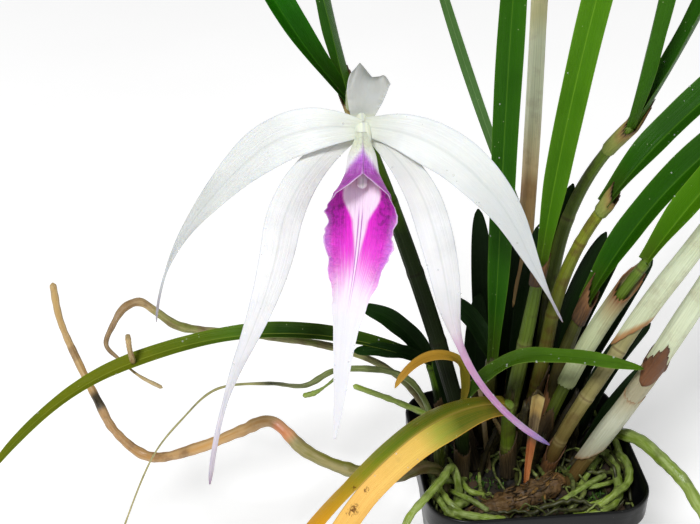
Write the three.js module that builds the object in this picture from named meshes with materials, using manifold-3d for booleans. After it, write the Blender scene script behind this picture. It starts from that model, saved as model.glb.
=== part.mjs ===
// A brassocattleya orchid in flower, growing in a square plastic pot.
// Millimetres, +Z up, origin at the middle of the pot's underside.
// The pot's flat front faces -Y. The flower hangs over the pot's left front corner and faces -Y.
import * as THREE from 'three';
import { mergeVertices } from 'three/addons/utils/BufferGeometryUtils.js';
import Module from 'manifold-3d';

const wasm = await Module();
wasm.setup();

// Pot and filling
const potHeight = 88;
const rimHalf = 45; // half of the rim's outside width
const rimCorner = 17; // radius of the rim's corners, seen from above
const rimBand = 11; // height of the thicker band below the rim
const baseHalf = 33;
const baseCorner = 11;
const potWall = 1.3;
const potFloor = 1.8;
const drainRadius = 4;
const drainOffset = 19;
const mediumTop = 78;
const barkRelief = 2.2; // how far the bark chips stand above and below the medium's surface
const gap = 0.3; // clearance between a piece and its seat

// Growth
const caneFoot = 72; // height at which the stems start, sunk in the medium
const leafThickness = 1.1;
const petalThickness = 0.9;
const sheathWall = 0.6;
const channelPower = 1.3; // how softly a folded blade bends at its middle
const ruffleLag = 1.3; // radians between the ruffles of a blade's two edges
const ruffleHalf = 3; // half width from which a blade's edge is ruffled in full
const flowerHeart = new THREE.Vector3(-69, -14, 242);
const flowerFacing = [264, 14]; // heading and rise of the way the flower looks

const colours = {
  potPlastic: 0x17181a,
  bark: 0x2f2a1c,
  rhizome: 0x6d4c26,
  oliveStem: 0x6f7536,
  darkStem: 0x4a4f22,
  leafGreen: 0x3f8a1f,
  darkLeaf: 0x1f5a1c,
  yellowLeaf: 0xe3ad3c,
  paleSheath: 0xc9cfb4,
  tanSheath: 0xb59a66,
  whitePetal: 0xf3f1f4,
  lipMagenta: 0xcf3fc0,
  columnGreen: 0xdfe6b8,
  deadRoot: 0xa8874f,
  greenRoot: 0x7f9a45,
};

const material = (colour, roughness = 0.6) =>
  new THREE.MeshStandardMaterial({ color: colour, roughness, metalness: 0, flatShading: true });

// Numbers that repeat for the same result each time, between -1 and 1
function seededNoise(seed) {
  let state = seed;
  return () => {
    state = (state * 16807) % 2147483647;
    return (state / 2147483647) * 2 - 1;
  };
}

const degrees = Math.PI / 180;
const clamp = (x, low, high) => Math.min(Math.max(x, low), high);
const smooth = (x) => x * x * (3 - 2 * x);

// The value at share t of a list of values that are spread evenly along a length
function along(values, t) {
  if (!Array.isArray(values)) return values;
  const place = clamp(t, 0, 1) * (values.length - 1);
  const first = Math.min(Math.floor(place), values.length - 2);
  return values[first] + (values[first + 1] - values[first]) * (place - first);
}

// A unit vector from a heading (degrees round from +X) and a rise (degrees above level)
function direction(heading, rise) {
  const level = Math.cos(rise * degrees);
  return new THREE.Vector3(
    Math.cos(heading * degrees) * level,
    Math.sin(heading * degrees) * level,
    Math.sin(rise * degrees),
  );
}

// A growth path: it leaves its foot along the first heading and rise, and turns evenly
// from each value to the next over its length
function growthPath({ foot, heading, rise, length, steps }) {
  const fine = 8;
  const stride = length / (steps * fine);
  const point = new THREE.Vector3(...foot);
  const points = [];
  const tangents = [];
  for (let i = 0; i <= steps * fine; i += 1) {
    const t = i / (steps * fine);
    const way = direction(along(heading, t), along(rise, t));
    if (i % fine === 0) {
      points.push(point.clone());
      tangents.push(way);
    }
    const middle = t + 0.5 / (steps * fine);
    point.addScaledVector(direction(along(heading, middle), along(rise, middle)), stride);
  }
  return { points, tangents };
}

// A path through a short list of points, rounded between them
function routePath({ route, steps }) {
  const curve = new THREE.CatmullRomCurve3(route.map((p) => new THREE.Vector3(...p)));
  const points = curve.getSpacedPoints(steps);
  const tangents = points.map((_, i) => curve.getTangentAt(i / steps));
  return { points, tangents };
}

const pathOf = (piece) => (piece.route ? routePath(piece) : growthPath(piece));

// Side and front vectors at each point of a path, where front is the part of the facing
// direction that is square to the path
function turnToFace(path, facing) {
  return path.tangents.map((tangent, i) => {
    const t = i / (path.tangents.length - 1);
    const look = direction(along(facing[0], t), along(facing[1], t));
    const side = new THREE.Vector3().crossVectors(tangent, look).normalize();
    const front = new THREE.Vector3().crossVectors(side, tangent).normalize();
    return { side, front };
  });
}

// Side and front vectors carried along a path without twist
function carryAlong(path) {
  const upright = Math.abs(path.tangents[0].z) > 0.9;
  const start = upright ? new THREE.Vector3(1, 0, 0) : new THREE.Vector3(0, 0, 1);
  let side = new THREE.Vector3().crossVectors(path.tangents[0], start).normalize();
  return path.tangents.map((tangent) => {
    side = side.clone().addScaledVector(tangent, -side.dot(tangent)).normalize();
    return { side, front: new THREE.Vector3().crossVectors(tangent, side) };
  });
}

function geometryFrom(vertices, faces) {
  const geometry = new THREE.BufferGeometry();
  const numbers = vertices.flatMap((v) => [v.x, v.y, v.z]);
  geometry.setAttribute('position', new THREE.Float32BufferAttribute(numbers, 3));
  geometry.setIndex(faces.flat());
  return geometry;
}

// Closed skin over a row of rings with the same number of points, with a fan at each end,
// or with the last ring joined to the first
function skinRings(rings, loop = false) {
  const count = rings[0].length;
  const vertices = rings.flat();
  const faces = [];
  const last = loop ? rings.length : rings.length - 1;
  for (let i = 0; i < last; i += 1) {
    for (let j = 0; j < count; j += 1) {
      const a = i * count + j;
      const b = i * count + ((j + 1) % count);
      const next = ((i + 1) % rings.length) * count;
      const c = next + j;
      const d = next + ((j + 1) % count);
      faces.push([a, b, d], [a, d, c]);
    }
  }
  if (!loop) {
    for (let j = 1; j < count - 1; j += 1) {
      faces.push([0, j + 1, j]);
      const end = (rings.length - 1) * count;
      faces.push([end, end + j, end + j + 1]);
    }
  }
  return geometryFrom(vertices, faces);
}

function ringAt(centre, frame, radius, sides) {
  return Array.from({ length: sides }, (_, k) => {
    const angle = (k / sides) * 2 * Math.PI;
    return centre
      .clone()
      .addScaledVector(frame.side, Math.cos(angle) * radius)
      .addScaledVector(frame.front, Math.sin(angle) * radius);
  });
}

// A round stem or root along a path, with its radius given by a function of the share t
function stem(piece, radiusAt, sides) {
  const path = pathOf(piece);
  const frames = carryAlong(path);
  const rings = path.points.map((p, i) => ringAt(p, frames[i], radiusAt(i / piece.steps), sides));
  return skinRings(rings);
}

// The same stem made wider by room and longer by it at both ends, to cut seats in its neighbours
function stemSeat(piece, radiusAt, sides, room = gap * 1.2) {
  const path = pathOf({ ...piece, steps: 24 });
  const wider = (t) => radiusAt(t) + room;
  const back = path.tangents[0].clone().multiplyScalar(-room);
  if (piece.route) {
    const first = new THREE.Vector3(...piece.route[0]).add(back).toArray();
    const end = new THREE.Vector3(...piece.route.at(-1)).addScaledVector(path.tangents.at(-1), room);
    return stem({ ...piece, route: [first, ...piece.route.slice(1, -1), end.toArray()] }, wider, sides);
  }
  const foot = new THREE.Vector3(...piece.foot).add(back).toArray();
  return stem({ ...piece, foot, length: piece.length + room * 2 }, wider, sides);
}

// A tube along part of a path. Its two ends are slanted and notched round the stem by endShape.
function sheath(piece, from, to, outerRadius, sides, endShape) {
  const fullSteps = 24;
  const path = pathOf({ ...piece, steps: fullSteps });
  const frames = carryAlong(path);
  const pointAt = (t, k, radius) => {
    const place = clamp(t, 0, 1) * fullSteps;
    const first = Math.min(Math.floor(place), fullSteps - 1);
    const share = place - first;
    const ringA = ringAt(path.points[first], frames[first], radius, sides)[k];
    const ringB = ringAt(path.points[first + 1], frames[first + 1], radius, sides)[k];
    return ringA.lerp(ringB, share);
  };
  const rows = 5;
  const rowsOf = (radiusAt) =>
    Array.from({ length: rows + 1 }, (_, i) =>
      Array.from({ length: sides }, (_, k) => {
        const end = endShape(k / sides);
        const t = from + end.foot + (to - end.tip - from - end.foot) * (i / rows);
        return pointAt(t, k, radiusAt(i / rows));
      }),
    );
  const outer = rowsOf((share) => along(outerRadius, share));
  const inner = rowsOf((share) => along(outerRadius, share) - sheathWall).reverse();
  return skinRings([...outer, ...inner], true);
}

// A thin blade: a leaf, petal or sepal. At share t of its length and v across (from -1 to 1)
// the upper face lies at path + side * width * v * cos(fold) + front * (channel + wave),
// and the lower face one thickness behind it. Both faces are split into the same triangles.
function blade(piece) {
  const { width, widthAt, thickness, columns, facing, fold, wave, waves, phase = 0, lift = 0 } = piece;
  const path = pathOf(piece);
  const frames = turnToFace(path, facing);
  const upper = [];
  const lower = [];
  path.points.forEach((point, i) => {
    const t = i / piece.steps;
    const half = (width / 2) * widthAt(t);
    const foldNow = along(fold, t) * degrees;
    const thick = thickness * (0.75 + 0.25 * (1 - t));
    for (let j = 0; j <= columns; j += 1) {
      const v = (2 * j) / columns - 1;
      const channel = Math.abs(v) ** channelPower * half * Math.sin(foldNow);
      const turn = waves * 2 * Math.PI * t + phase + (v > 0 ? ruffleLag : 0);
      const ruffle = wave * Math.sin(turn) * v * v * Math.min(1, half / ruffleHalf);
      const top = point
        .clone()
        .addScaledVector(frames[i].side, v * half * Math.cos(foldNow))
        .addScaledVector(frames[i].front, channel + ruffle + lift);
      upper.push(top);
      lower.push(top.clone().addScaledVector(frames[i].front, -thick));
    }
  });
  return skinSheet(upper, lower, piece.steps, columns);
}

// A closed sheet between an upper and a lower grid of rows by columns
function skinSheet(upper, lower, rows, columns) {
  const wide = columns + 1;
  const below = upper.length;
  const faces = [];
  const cell = (a, b, c, d) => faces.push([a, b, d], [a, d, c]);
  for (let i = 0; i < rows; i += 1) {
    for (let j = 0; j < columns; j += 1) {
      const a = i * wide + j;
      cell(a, a + 1, a + wide, a + wide + 1);
      faces.push([below + a, below + a + wide + 1, below + a + 1]);
      faces.push([below + a, below + a + wide, below + a + wide + 1]);
    }
    const left = i * wide;
    const right = left + columns;
    cell(left, left + wide, below + left, below + left + wide);
    cell(right + wide, right, below + right + wide, below + right);
  }
  const end = rows * wide;
  for (let j = 0; j < columns; j += 1) {
    cell(j + 1, j, below + j + 1, below + j);
    cell(end + j, end + j + 1, below + end + j, below + end + j + 1);
  }
  return geometryFrom([...upper, ...lower], faces);
}

// Solids for joining and cutting
const solidFrom = (vertProperties, faces) =>
  new wasm.Manifold(new wasm.Mesh({ numProp: 3, vertProperties, triVerts: new Uint32Array(faces) }));

function solidOf(geometry) {
  const bare = geometry.clone();
  bare.deleteAttribute('normal');
  bare.deleteAttribute('uv');
  const merged = mergeVertices(bare, 1e-4);
  const solid = solidFrom(merged.attributes.position.array, merged.index.array);
  if (solid.volume() > 0) return solid;
  const turned = merged.index.array.slice();
  for (let i = 0; i < turned.length; i += 3) {
    [turned[i + 1], turned[i + 2]] = [turned[i + 2], turned[i + 1]];
  }
  return solidFrom(merged.attributes.position.array, turned);
}

// The largest body of a solid as a geometry, so that a scrap left by a cut is dropped
function geometryOf(solid) {
  const bodies = solid.decompose();
  const largest = bodies.reduce((a, b) => (a.volume() > b.volume() ? a : b));
  const mesh = largest.getMesh();
  const geometry = new THREE.BufferGeometry();
  geometry.setAttribute('position', new THREE.BufferAttribute(new Float32Array(mesh.vertProperties), 3));
  geometry.setIndex(new THREE.BufferAttribute(new Uint32Array(mesh.triVerts), 1));
  return geometry;
}

const orchid = new THREE.Group();

function addPiece(name, geometry, pieceMaterial) {
  const flat = geometry.index ? geometry.toNonIndexed() : geometry;
  flat.computeVertexNormals();
  const mesh = new THREE.Mesh(flat, pieceMaterial);
  mesh.name = name;
  orchid.add(mesh);
}

// Outline of a square with round corners, seen from above
function roundSquare(half, corner, height, cornerSteps = 5) {
  const flat = half - corner;
  const points = [];
  [[1, 1], [-1, 1], [-1, -1], [1, -1]].forEach(([x, y], quarter) => {
    for (let k = 0; k <= cornerSteps; k += 1) {
      const angle = (quarter + k / cornerSteps) * (Math.PI / 2);
      points.push(
        new THREE.Vector3(x * flat + Math.cos(angle) * corner, y * flat + Math.sin(angle) * corner, height),
      );
    }
  });
  return points;
}

// Half width and corner radius of the pot's outside at a height, below its rim band
const wallHalf = (height) => THREE.MathUtils.lerp(baseHalf, rimHalf - 1.6, height / potHeight);
const wallCorner = (height) => THREE.MathUtils.lerp(baseCorner, rimCorner - 1, height / potHeight);

function buildPot() {
  const bandFoot = potHeight - rimBand;
  const outside = [
    roundSquare(baseHalf, baseCorner, 0),
    roundSquare(wallHalf(bandFoot), wallCorner(bandFoot), bandFoot),
    roundSquare(rimHalf - 0.4, rimCorner, bandFoot + 1),
    roundSquare(rimHalf, rimCorner, potHeight),
  ];
  const inside = [
    roundSquare(rimHalf - potWall, rimCorner - potWall, potHeight),
    roundSquare(wallHalf(bandFoot) - potWall, wallCorner(bandFoot) - potWall, bandFoot - 1),
    roundSquare(baseHalf - potWall, baseCorner - potWall, potFloor),
  ];
  let pot = solidOf(skinRings([...outside, ...inside]));
  for (const [x, y] of [[1, 1], [-1, 1], [-1, -1], [1, -1]]) {
    const drain = new THREE.CylinderGeometry(drainRadius, drainRadius, potFloor * 4, 12);
    drain.rotateX(Math.PI / 2).translate(x * drainOffset, y * drainOffset, potFloor / 2);
    pot = pot.subtract(solidOf(drain));
  }
  return pot;
}

// The filling follows the pot's inside, and its top is a relief of bark chips
function buildMedium() {
  const noise = seededNoise(41);
  const bandFoot = potHeight - rimBand;
  const inset = potWall + gap;
  const cornerSteps = 6;
  const edge = (height) =>
    roundSquare(wallHalf(height) - inset - gap, wallCorner(height) - inset, height, cornerSteps);
  const rings = [edge(potFloor + gap), edge(bandFoot - 2)];
  const shrinks = [0.97, 0.84, 0.7, 0.54, 0.36, 0.17];
  const topEdge = edge(bandFoot - 2);
  for (const shrink of shrinks) {
    const chipTop = () => mediumTop - 2 + noise() * barkRelief;
    rings.push(topEdge.map((p) => new THREE.Vector3(p.x * shrink, p.y * shrink, chipTop())));
  }
  rings.forEach((ring) => ring.reverse());
  return solidOf(skinRings(rings));
}

// Stems. Each stands in a hole in the medium.
const canes = {
  pseudobulb_flowering: {
    foot: [-19, 4, caneFoot], heading: [147, 163, 171], rise: [75, 72, 69], length: 176, radius: 3.3,
    dark: true,
  },
  pseudobulb_02: {
    foot: [-12, 20, caneFoot], heading: [254, 272], rise: [80, 76], length: 57, radius: 2.8, dark: true,
  },
  pseudobulb_03: { foot: [-1, 30, caneFoot], heading: [56, 93], rise: [79, 86], length: 207, radius: 2.2 },
  pseudobulb_04: { foot: [-8, 11, caneFoot], heading: [36, 32], rise: [76, 81], length: 93, radius: 3 },
  pseudobulb_05: {
    foot: [11, 29, caneFoot], heading: [74, 40, -16], rise: [79, 83, 49], length: 149, radius: 2.8,
  },
  pseudobulb_06: {
    foot: [1, 15, caneFoot], heading: [36, 14, -14], rise: [71, 84, 59], length: 123, radius: 2.8,
  },
  pseudobulb_07: {
    foot: [12, 15, caneFoot], heading: [19, -16], rise: [88, 71], length: 79, radius: 3, dark: true,
  },
  pseudobulb_08: { foot: [5, 6, caneFoot], heading: [5, -10], rise: [77, 59], length: 109, radius: 2.5 },
  pseudobulb_09: {
    foot: [9, -3, caneFoot], heading: [-45, 21, -31], rise: [80, 55, 65], length: 148, radius: 2.9,
  },
  pseudobulb_10: {
    foot: [14, -13, caneFoot], heading: [11, -48, -24], rise: [61, 68, 70], length: 147, radius: 2.9,
  },
  pseudobulb_11: {
    foot: [-6, -2, caneFoot], heading: [247, 247], rise: [78, 75], length: 50, radius: 3, dark: true,
  },
  pseudobulb_12: {
    foot: [-26, -5, caneFoot], heading: [240, 236], rise: [86, 84], length: 47, radius: 2.8, dark: true,
  },
  pseudobulb_13: {
    foot: [-27, 33, caneFoot], heading: [247, 223], rise: [77, 65], length: 50, radius: 2.8, dark: true,
  },
};

const caneSides = 8;
const caneEnds = {};
const caneSeats = {};

// A stem is thickest at its middle and narrows to its foot and tip
const caneRadiusAt = (radius) => (t) =>
  radius * (0.86 + 0.2 * Math.sin(Math.PI * clamp(t * 1.1 + 0.05, 0, 1)));

for (const [name, cane] of Object.entries(canes)) {
  const steps = Math.max(4, Math.round(cane.length / 22));
  const piece = { ...cane, steps };
  const geometry = stem(piece, caneRadiusAt(cane.radius), caneSides);
  addPiece(name, geometry, material(cane.dark ? colours.darkStem : colours.oliveStem));
  const path = pathOf(piece);
  caneEnds[name] = { point: path.points[steps], tangent: path.tangents[steps] };
  caneSeats[name] = solidOf(stemSeat(piece, caneRadiusAt(cane.radius), caneSides));
}

// Rhizome, half sunk along the front of the medium
const rhizomePiece = {
  foot: [-25, -30, mediumTop + 1], heading: [19, 20, 23, 47], rise: [0, 4, 0, -4], length: 44, steps: 11,
};
const rhizomeRadius = (t) => 3.6 + 1.6 * Math.sin(Math.PI * t) + 0.45 * Math.sin(t * 40);
let rhizome = solidOf(stem(rhizomePiece, rhizomeRadius, 9));
const rhizomeSeat = solidOf(stemSeat(rhizomePiece, rhizomeRadius, 9));

let medium = buildMedium().subtract(rhizomeSeat);
for (const socket of Object.values(caneSeats)) {
  medium = medium.subtract(socket);
  rhizome = rhizome.subtract(socket);
}

// Leaf outline: narrow where it clasps the stem, nearly parallel along its length, pointed at its tip
const strapWidth = (baseShare, tipFrom) => (t) => {
  const base = baseShare + (1 - baseShare) * smooth(clamp(t / 0.22, 0, 1));
  const tip = t < tipFrom ? 1 : Math.sqrt(1 - ((t - tipFrom) / (1 - tipFrom)) ** 2 * 0.995);
  return base * Math.max(tip, 0.07);
};

const leafSets = [
  {
    name: 'leaf_01_left', on: 'pseudobulb_flowering', heading: [186, 196, 200], rise: [52, 70, 76],
    length: 176, width: 14, facing: [300, 20], fold: [50, 34, 16], shift: -1.6,
  },
  {
    name: 'leaf_01_right', on: 'pseudobulb_flowering', heading: [187, 195, 200], rise: [74, 84, 86],
    length: 165, width: 12, facing: [200, 0], fold: [50, 34, 16], shift: -1.6,
  },
  {
    name: 'leaf_02', on: 'pseudobulb_02', heading: [61, 110, 168], rise: [84, 90, 92],
    length: 206, width: 11.5, facing: [264, 10], fold: [48, 30, 14],
  },
  {
    name: 'leaf_03_left', on: 'pseudobulb_03', heading: [158, 172], rise: [87, 70],
    length: 140, width: 12, facing: [320, 10], fold: [50, 30, 14], shift: -1.7,
  },
  {
    name: 'leaf_03_right', on: 'pseudobulb_03', heading: [330, 340], rise: [84, 66],
    length: 150, width: 12, facing: [150, 10], fold: [50, 30, 14], shift: -1.7,
  },
  {
    name: 'leaf_04', on: 'pseudobulb_04', heading: [-25, -50], rise: [86, 76],
    length: 200, width: 12, facing: [262, 8], fold: [44, 22, 10],
  },
  {
    name: 'leaf_04_narrow', on: 'pseudobulb_04', heading: [164, 160], rise: [66, 73],
    length: 150, width: 4.5, facing: [264, 10], fold: [40, 20, 10], shift: -1.6,
  },
  {
    name: 'leaf_05_left', on: 'pseudobulb_05', heading: [-64, -93], rise: [77, 84],
    length: 165, width: 11, facing: [20, 20], fold: [50, 34, 20], shift: -1.5,
  },
  {
    name: 'leaf_05_right', on: 'pseudobulb_05', heading: [-5, -4], rise: [64, 78],
    length: 165, width: 12, facing: [190, 20], fold: [50, 34, 20], shift: -1.5,
  },
  {
    name: 'leaf_06', on: 'pseudobulb_06', heading: [8, 16, 22], rise: [56, 30, 14],
    length: 150, width: 16, facing: [230, 60], fold: [46, 28, 12],
  },
  {
    name: 'leaf_07', on: 'pseudobulb_07', heading: [12, -2, -4], rise: [65, 44, 30],
    length: 165, width: 15, facing: [230, 50], fold: [46, 28, 12],
  },
  {
    name: 'leaf_08', on: 'pseudobulb_08', heading: [-2, 6, 12], rise: [62, 46, 30],
    length: 140, width: 15, facing: [230, 50], fold: [48, 28, 12],
  },
  {
    name: 'leaf_09', on: 'pseudobulb_09', heading: [-10, -16], rise: [60, 44],
    length: 140, width: 15, facing: [220, 50], fold: [48, 28, 12],
  },
  {
    name: 'leaf_10', on: 'pseudobulb_10', heading: [-14, -20], rise: [62, 48],
    length: 130, width: 15, facing: [220, 50], fold: [48, 28, 12],
  },
  {
    name: 'leaf_yellow', on: 'pseudobulb_11', heading: [202, 206, 231, 240], rise: [22, -26, -21, -40],
    length: 150, width: 19, facing: [264, 70], fold: [-16, -30, -34, -34], colour: colours.yellowLeaf,
  },
  {
    name: 'leaf_long_arching', on: 'pseudobulb_13', heading: [170, 184, 194, 217], rise: [25, 5, -16, -41],
    length: 199, width: 10.5, facing: [264, 70], fold: [44, 34, 24], tipFrom: 0,
  },
  {
    name: 'leaf_small_green', on: 'pseudobulb_12', heading: [23, -35, -7], rise: [60, 17, -15],
    length: 81, width: 7, facing: [264, 60], fold: [40, 24, 14], shift: -1.2,
  },
  {
    name: 'leaf_small_yellow', on: 'pseudobulb_12', heading: [187, 200, 186, 219], rise: [106, 72, -14, -54],
    length: 55, width: 4.5, facing: [264, 60], fold: [40, 20, 14], shift: -1.2, colour: colours.yellowLeaf,
  },
  {
    name: 'leaf_shaded_1', on: 'pseudobulb_13', heading: [151, 176], rise: [62, 19],
    length: 40, width: 9, facing: [264, 50], fold: [40, 20, 14], shift: -1.2, colour: colours.darkLeaf,
  },
  {
    name: 'leaf_shaded_3', on: 'pseudobulb_13', heading: [178, 188], rise: [30, 0],
    length: 34, width: 7, facing: [264, 60], fold: [40, 20, 14], shift: 1.5, colour: colours.darkLeaf,
  },
  {
    name: 'leaf_shaded_2', on: 'pseudobulb_02', heading: [119, 156], rise: [66, 18],
    length: 34, width: 8, facing: [264, 40], fold: [40, 20, 14], shift: -1.2, colour: colours.darkLeaf,
  },
];

const leafSeats = {};

// A leaf starts a little below its stem's tip, is moved aside from its twin, and is cut clear of both
for (const leaf of leafSets) {
  const end = caneEnds[leaf.on];
  const look = direction(along(leaf.facing[0], 0), along(leaf.facing[1], 0));
  const foot = end.point.clone().addScaledVector(end.tangent, -1).addScaledVector(look, leaf.shift ?? 0);
  const piece = {
    ...leaf,
    foot: foot.toArray(),
    steps: Math.max(6, Math.round(leaf.length / 19)),
    thickness: leafThickness,
    columns: 4,
    widthAt: strapWidth(0.56, leaf.tipFrom ?? 0.55),
    wave: 0.5,
    waves: 3,
  };
  const seats = leafSeats[leaf.on] ?? [];
  const whole = solidOf(blade(piece));
  const clear = [caneSeats[leaf.on], ...seats].reduce((left, seat) => left.subtract(seat), whole);
  addPiece(leaf.name, geometryOf(clear), material(leaf.colour ?? colours.leafGreen, 0.4));
  const room = { lift: gap * 1.6, thickness: leafThickness + gap * 4.5, width: leaf.width + gap * 4 };
  leafSeats[leaf.on] = [...seats, solidOf(blade({ ...piece, ...room }))];
}

// Papery sheaths round the stems, torn to a slanted point
const tornEnd = (depth) => (turn) => ({
  foot: 0.01 * Math.sin(turn * 2 * Math.PI * 3),
  tip: depth * (0.5 + 0.5 * Math.cos(turn * 2 * Math.PI)),
});
const sheathSets = [
  { name: 'sheath_03', on: 'pseudobulb_03', from: 0.3, to: 0.99, radius: [3.2, 3.3, 3.2], torn: 0.03 },
  { name: 'sheath_08', on: 'pseudobulb_08', from: 0.4, to: 0.97, radius: [3.7, 3.9, 3.6], torn: 0.16 },
  { name: 'sheath_09', on: 'pseudobulb_09', from: 0.5, to: 0.97, radius: [4.1, 4.2, 3.9], torn: 0.06 },
  { name: 'sheath_10_low', on: 'pseudobulb_10', from: 0.14, to: 0.44, radius: [4.1, 4.2, 4.1], torn: 0.06 },
  { name: 'sheath_10_high', on: 'pseudobulb_10', from: 0.5, to: 0.97, radius: [4.1, 4.2, 3.9], torn: 0.08 },
];
for (const set of sheathSets) {
  const tube = sheath(canes[set.on], set.from, set.to, set.radius, caneSides, tornEnd(set.torn));
  addPiece(set.name, geometryOf(solidOf(tube)), material(colours.paleSheath, 0.7));
}

// Flower. Its stalk and ovary rise in front of the flowering stem's tip, pass through the heart
// and end as the column, which the lip's tube wraps.
const columnPiece = {
  route: [
    [-70.3, 16.6, 236], [-70.5, 13.5, 244], [-70, 7, 249], [-69.5, -3, 248], [-69, -11, 244.5],
    [-69, -15, 241], [-69.4, -19, 234.5], [-70.2, -24, 224],
  ],
  steps: 18,
};
const columnRadius = (t) =>
  1.5 + 1.2 * Math.exp(-(((t - 0.65) / 0.09) ** 2)) + 0.4 * smooth(clamp((t - 0.85) / 0.15, 0, 1));
const column = solidOf(stem(columnPiece, columnRadius, 8));
const columnSeat = solidOf(stemSeat(columnPiece, columnRadius, 8));
addPiece('column_and_ovary', geometryOf(column), material(colours.columnGreen, 0.5));

// Petal outline: widest at the share peak, then tapering to a long thin tip of width tail
const petalWidth = (baseShare, peak, sharpness, tail) => (t) => {
  if (t < peak) return baseShare + (1 - baseShare) * Math.sin((Math.PI / 2) * (t / peak));
  const u = (t - peak) / (1 - peak);
  const end = tail * Math.sqrt(Math.max(1 - Math.max((u - 0.8) / 0.2, 0) ** 2, 0.1));
  return Math.max((1 - u) ** sharpness * (1 + sharpness * u), end);
};
const tepals = [
  {
    name: 'petal_left', foot: [-3, -0.6, 1.1], heading: [178, 162, 192, 205], rise: [12, -44, -53, -84],
    length: 117, width: 17, base: 0.4, peak: 0.22, sharpness: 2.6, wave: 0.9, waves: 4, fold: 8,
  },
  {
    name: 'petal_right', foot: [3, -0.6, 1.1], heading: [-2, -19, -27, -31], rise: [-3, -36, -62, -59],
    length: 106, width: 17, base: 0.4, peak: 0.28, sharpness: 1.8, wave: 0.9, waves: 4, phase: 1.5, fold: 8,
  },
  {
    name: 'sepal_left', foot: [-1.9, 1.2, -1.4], heading: [183, 195, 220, 246], rise: [-27, -80, -55, -70],
    length: 148, width: 13.5, base: 0.4, peak: 0.3, sharpness: 2.4, tail: 0.15, wave: 0.5, waves: 4, fold: -10,
  },
  {
    name: 'sepal_right', foot: [2.4, 2.3, -1.8],
    heading: [-31, -15, -41, -23, -12], rise: [-30, -72, -80, -54, -29],
    length: 147, width: 13, base: 0.4, peak: 0.3, sharpness: 2.2, tail: 0.26, wave: 0.5, waves: 4, phase: 2,
    fold: [0, -10, -20, -40, -44],
  },
  {
    name: 'sepal_dorsal', foot: [0.3, 2.9, 3], heading: [84, 60], rise: [74, 70, 62, 12],
    length: 18, width: 15, base: 0.58, peak: 0.74, sharpness: 0.5, wave: 0.4, waves: 2, fold: [16, 10, 4, 0],
    steps: 9,
  },
];
for (const tepal of tepals) {
  const foot = flowerHeart.clone().add(new THREE.Vector3(...tepal.foot)).toArray();
  const piece = {
    ...tepal,
    foot,
    steps: tepal.steps ?? 13,
    columns: 6,
    thickness: petalThickness,
    facing: flowerFacing,
    widthAt: petalWidth(tepal.base, tepal.peak, tepal.sharpness, tepal.tail ?? 0.06),
  };
  const clear = solidOf(blade(piece)).subtract(columnSeat);
  addPiece(tepal.name, geometryOf(clear), material(colours.whitePetal, 0.5));
}

// Lip: a sheet rolled round the column at its base, which opens into a ruffled lobe and then
// narrows to a long tip. Its half width and its roll (half the angle it is curled through)
// are given at even shares of its length.
const lip = {
  foot: [-69, -14.2, 238.6],
  heading: [268, 255, 241, 242, 234],
  rise: [-66, -65, -65, -79, -76],
  length: 111,
  steps: 20,
  columns: 12,
  halfWidth: [9, 13, 16.5, 18, 16, 14.5, 12.6, 10, 7.6, 6, 4.5, 3.7, 3.1, 2.5, 1.9, 1.2, 0.5],
  roll: [176, 176, 174, 108, 76, 60, 50, 44, 38, 34, 30, 27, 24, 21, 18, 15, 12],
  ruffle: 0.8,
  ruffles: 9,
};
function buildLip() {
  const path = growthPath(lip);
  const frames = turnToFace(path, flowerFacing);
  const upper = [];
  const lower = [];
  path.points.forEach((point, i) => {
    const t = i / lip.steps;
    const roll = along(lip.roll, t) * degrees;
    const radius = along(lip.halfWidth, t) / roll;
    const lobe = Math.sin(Math.PI * clamp((t - 0.1) / 0.5, 0, 1));
    for (let j = 0; j <= lip.columns; j += 1) {
      const v = (2 * j) / lip.columns - 1;
      const turn = lip.ruffles * 2 * Math.PI * t + (v > 0 ? 1 : 0);
      const wave = lip.ruffle * lobe * v ** 4 * Math.sin(turn);
      const ringPoint = (reach) =>
        point
          .clone()
          .addScaledVector(frames[i].side, Math.sin(v * roll) * reach)
          .addScaledVector(frames[i].front, radius - Math.cos(v * roll) * reach);
      upper.push(ringPoint(radius + wave));
      lower.push(ringPoint(radius + wave + petalThickness * (0.7 + 0.3 * (1 - t))));
    }
  });
  return skinSheet(upper, lower, lip.steps, lip.columns);
}
addPiece('lip', geometryOf(solidOf(buildLip()).subtract(columnSeat)), material(colours.lipMagenta, 0.5));

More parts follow.
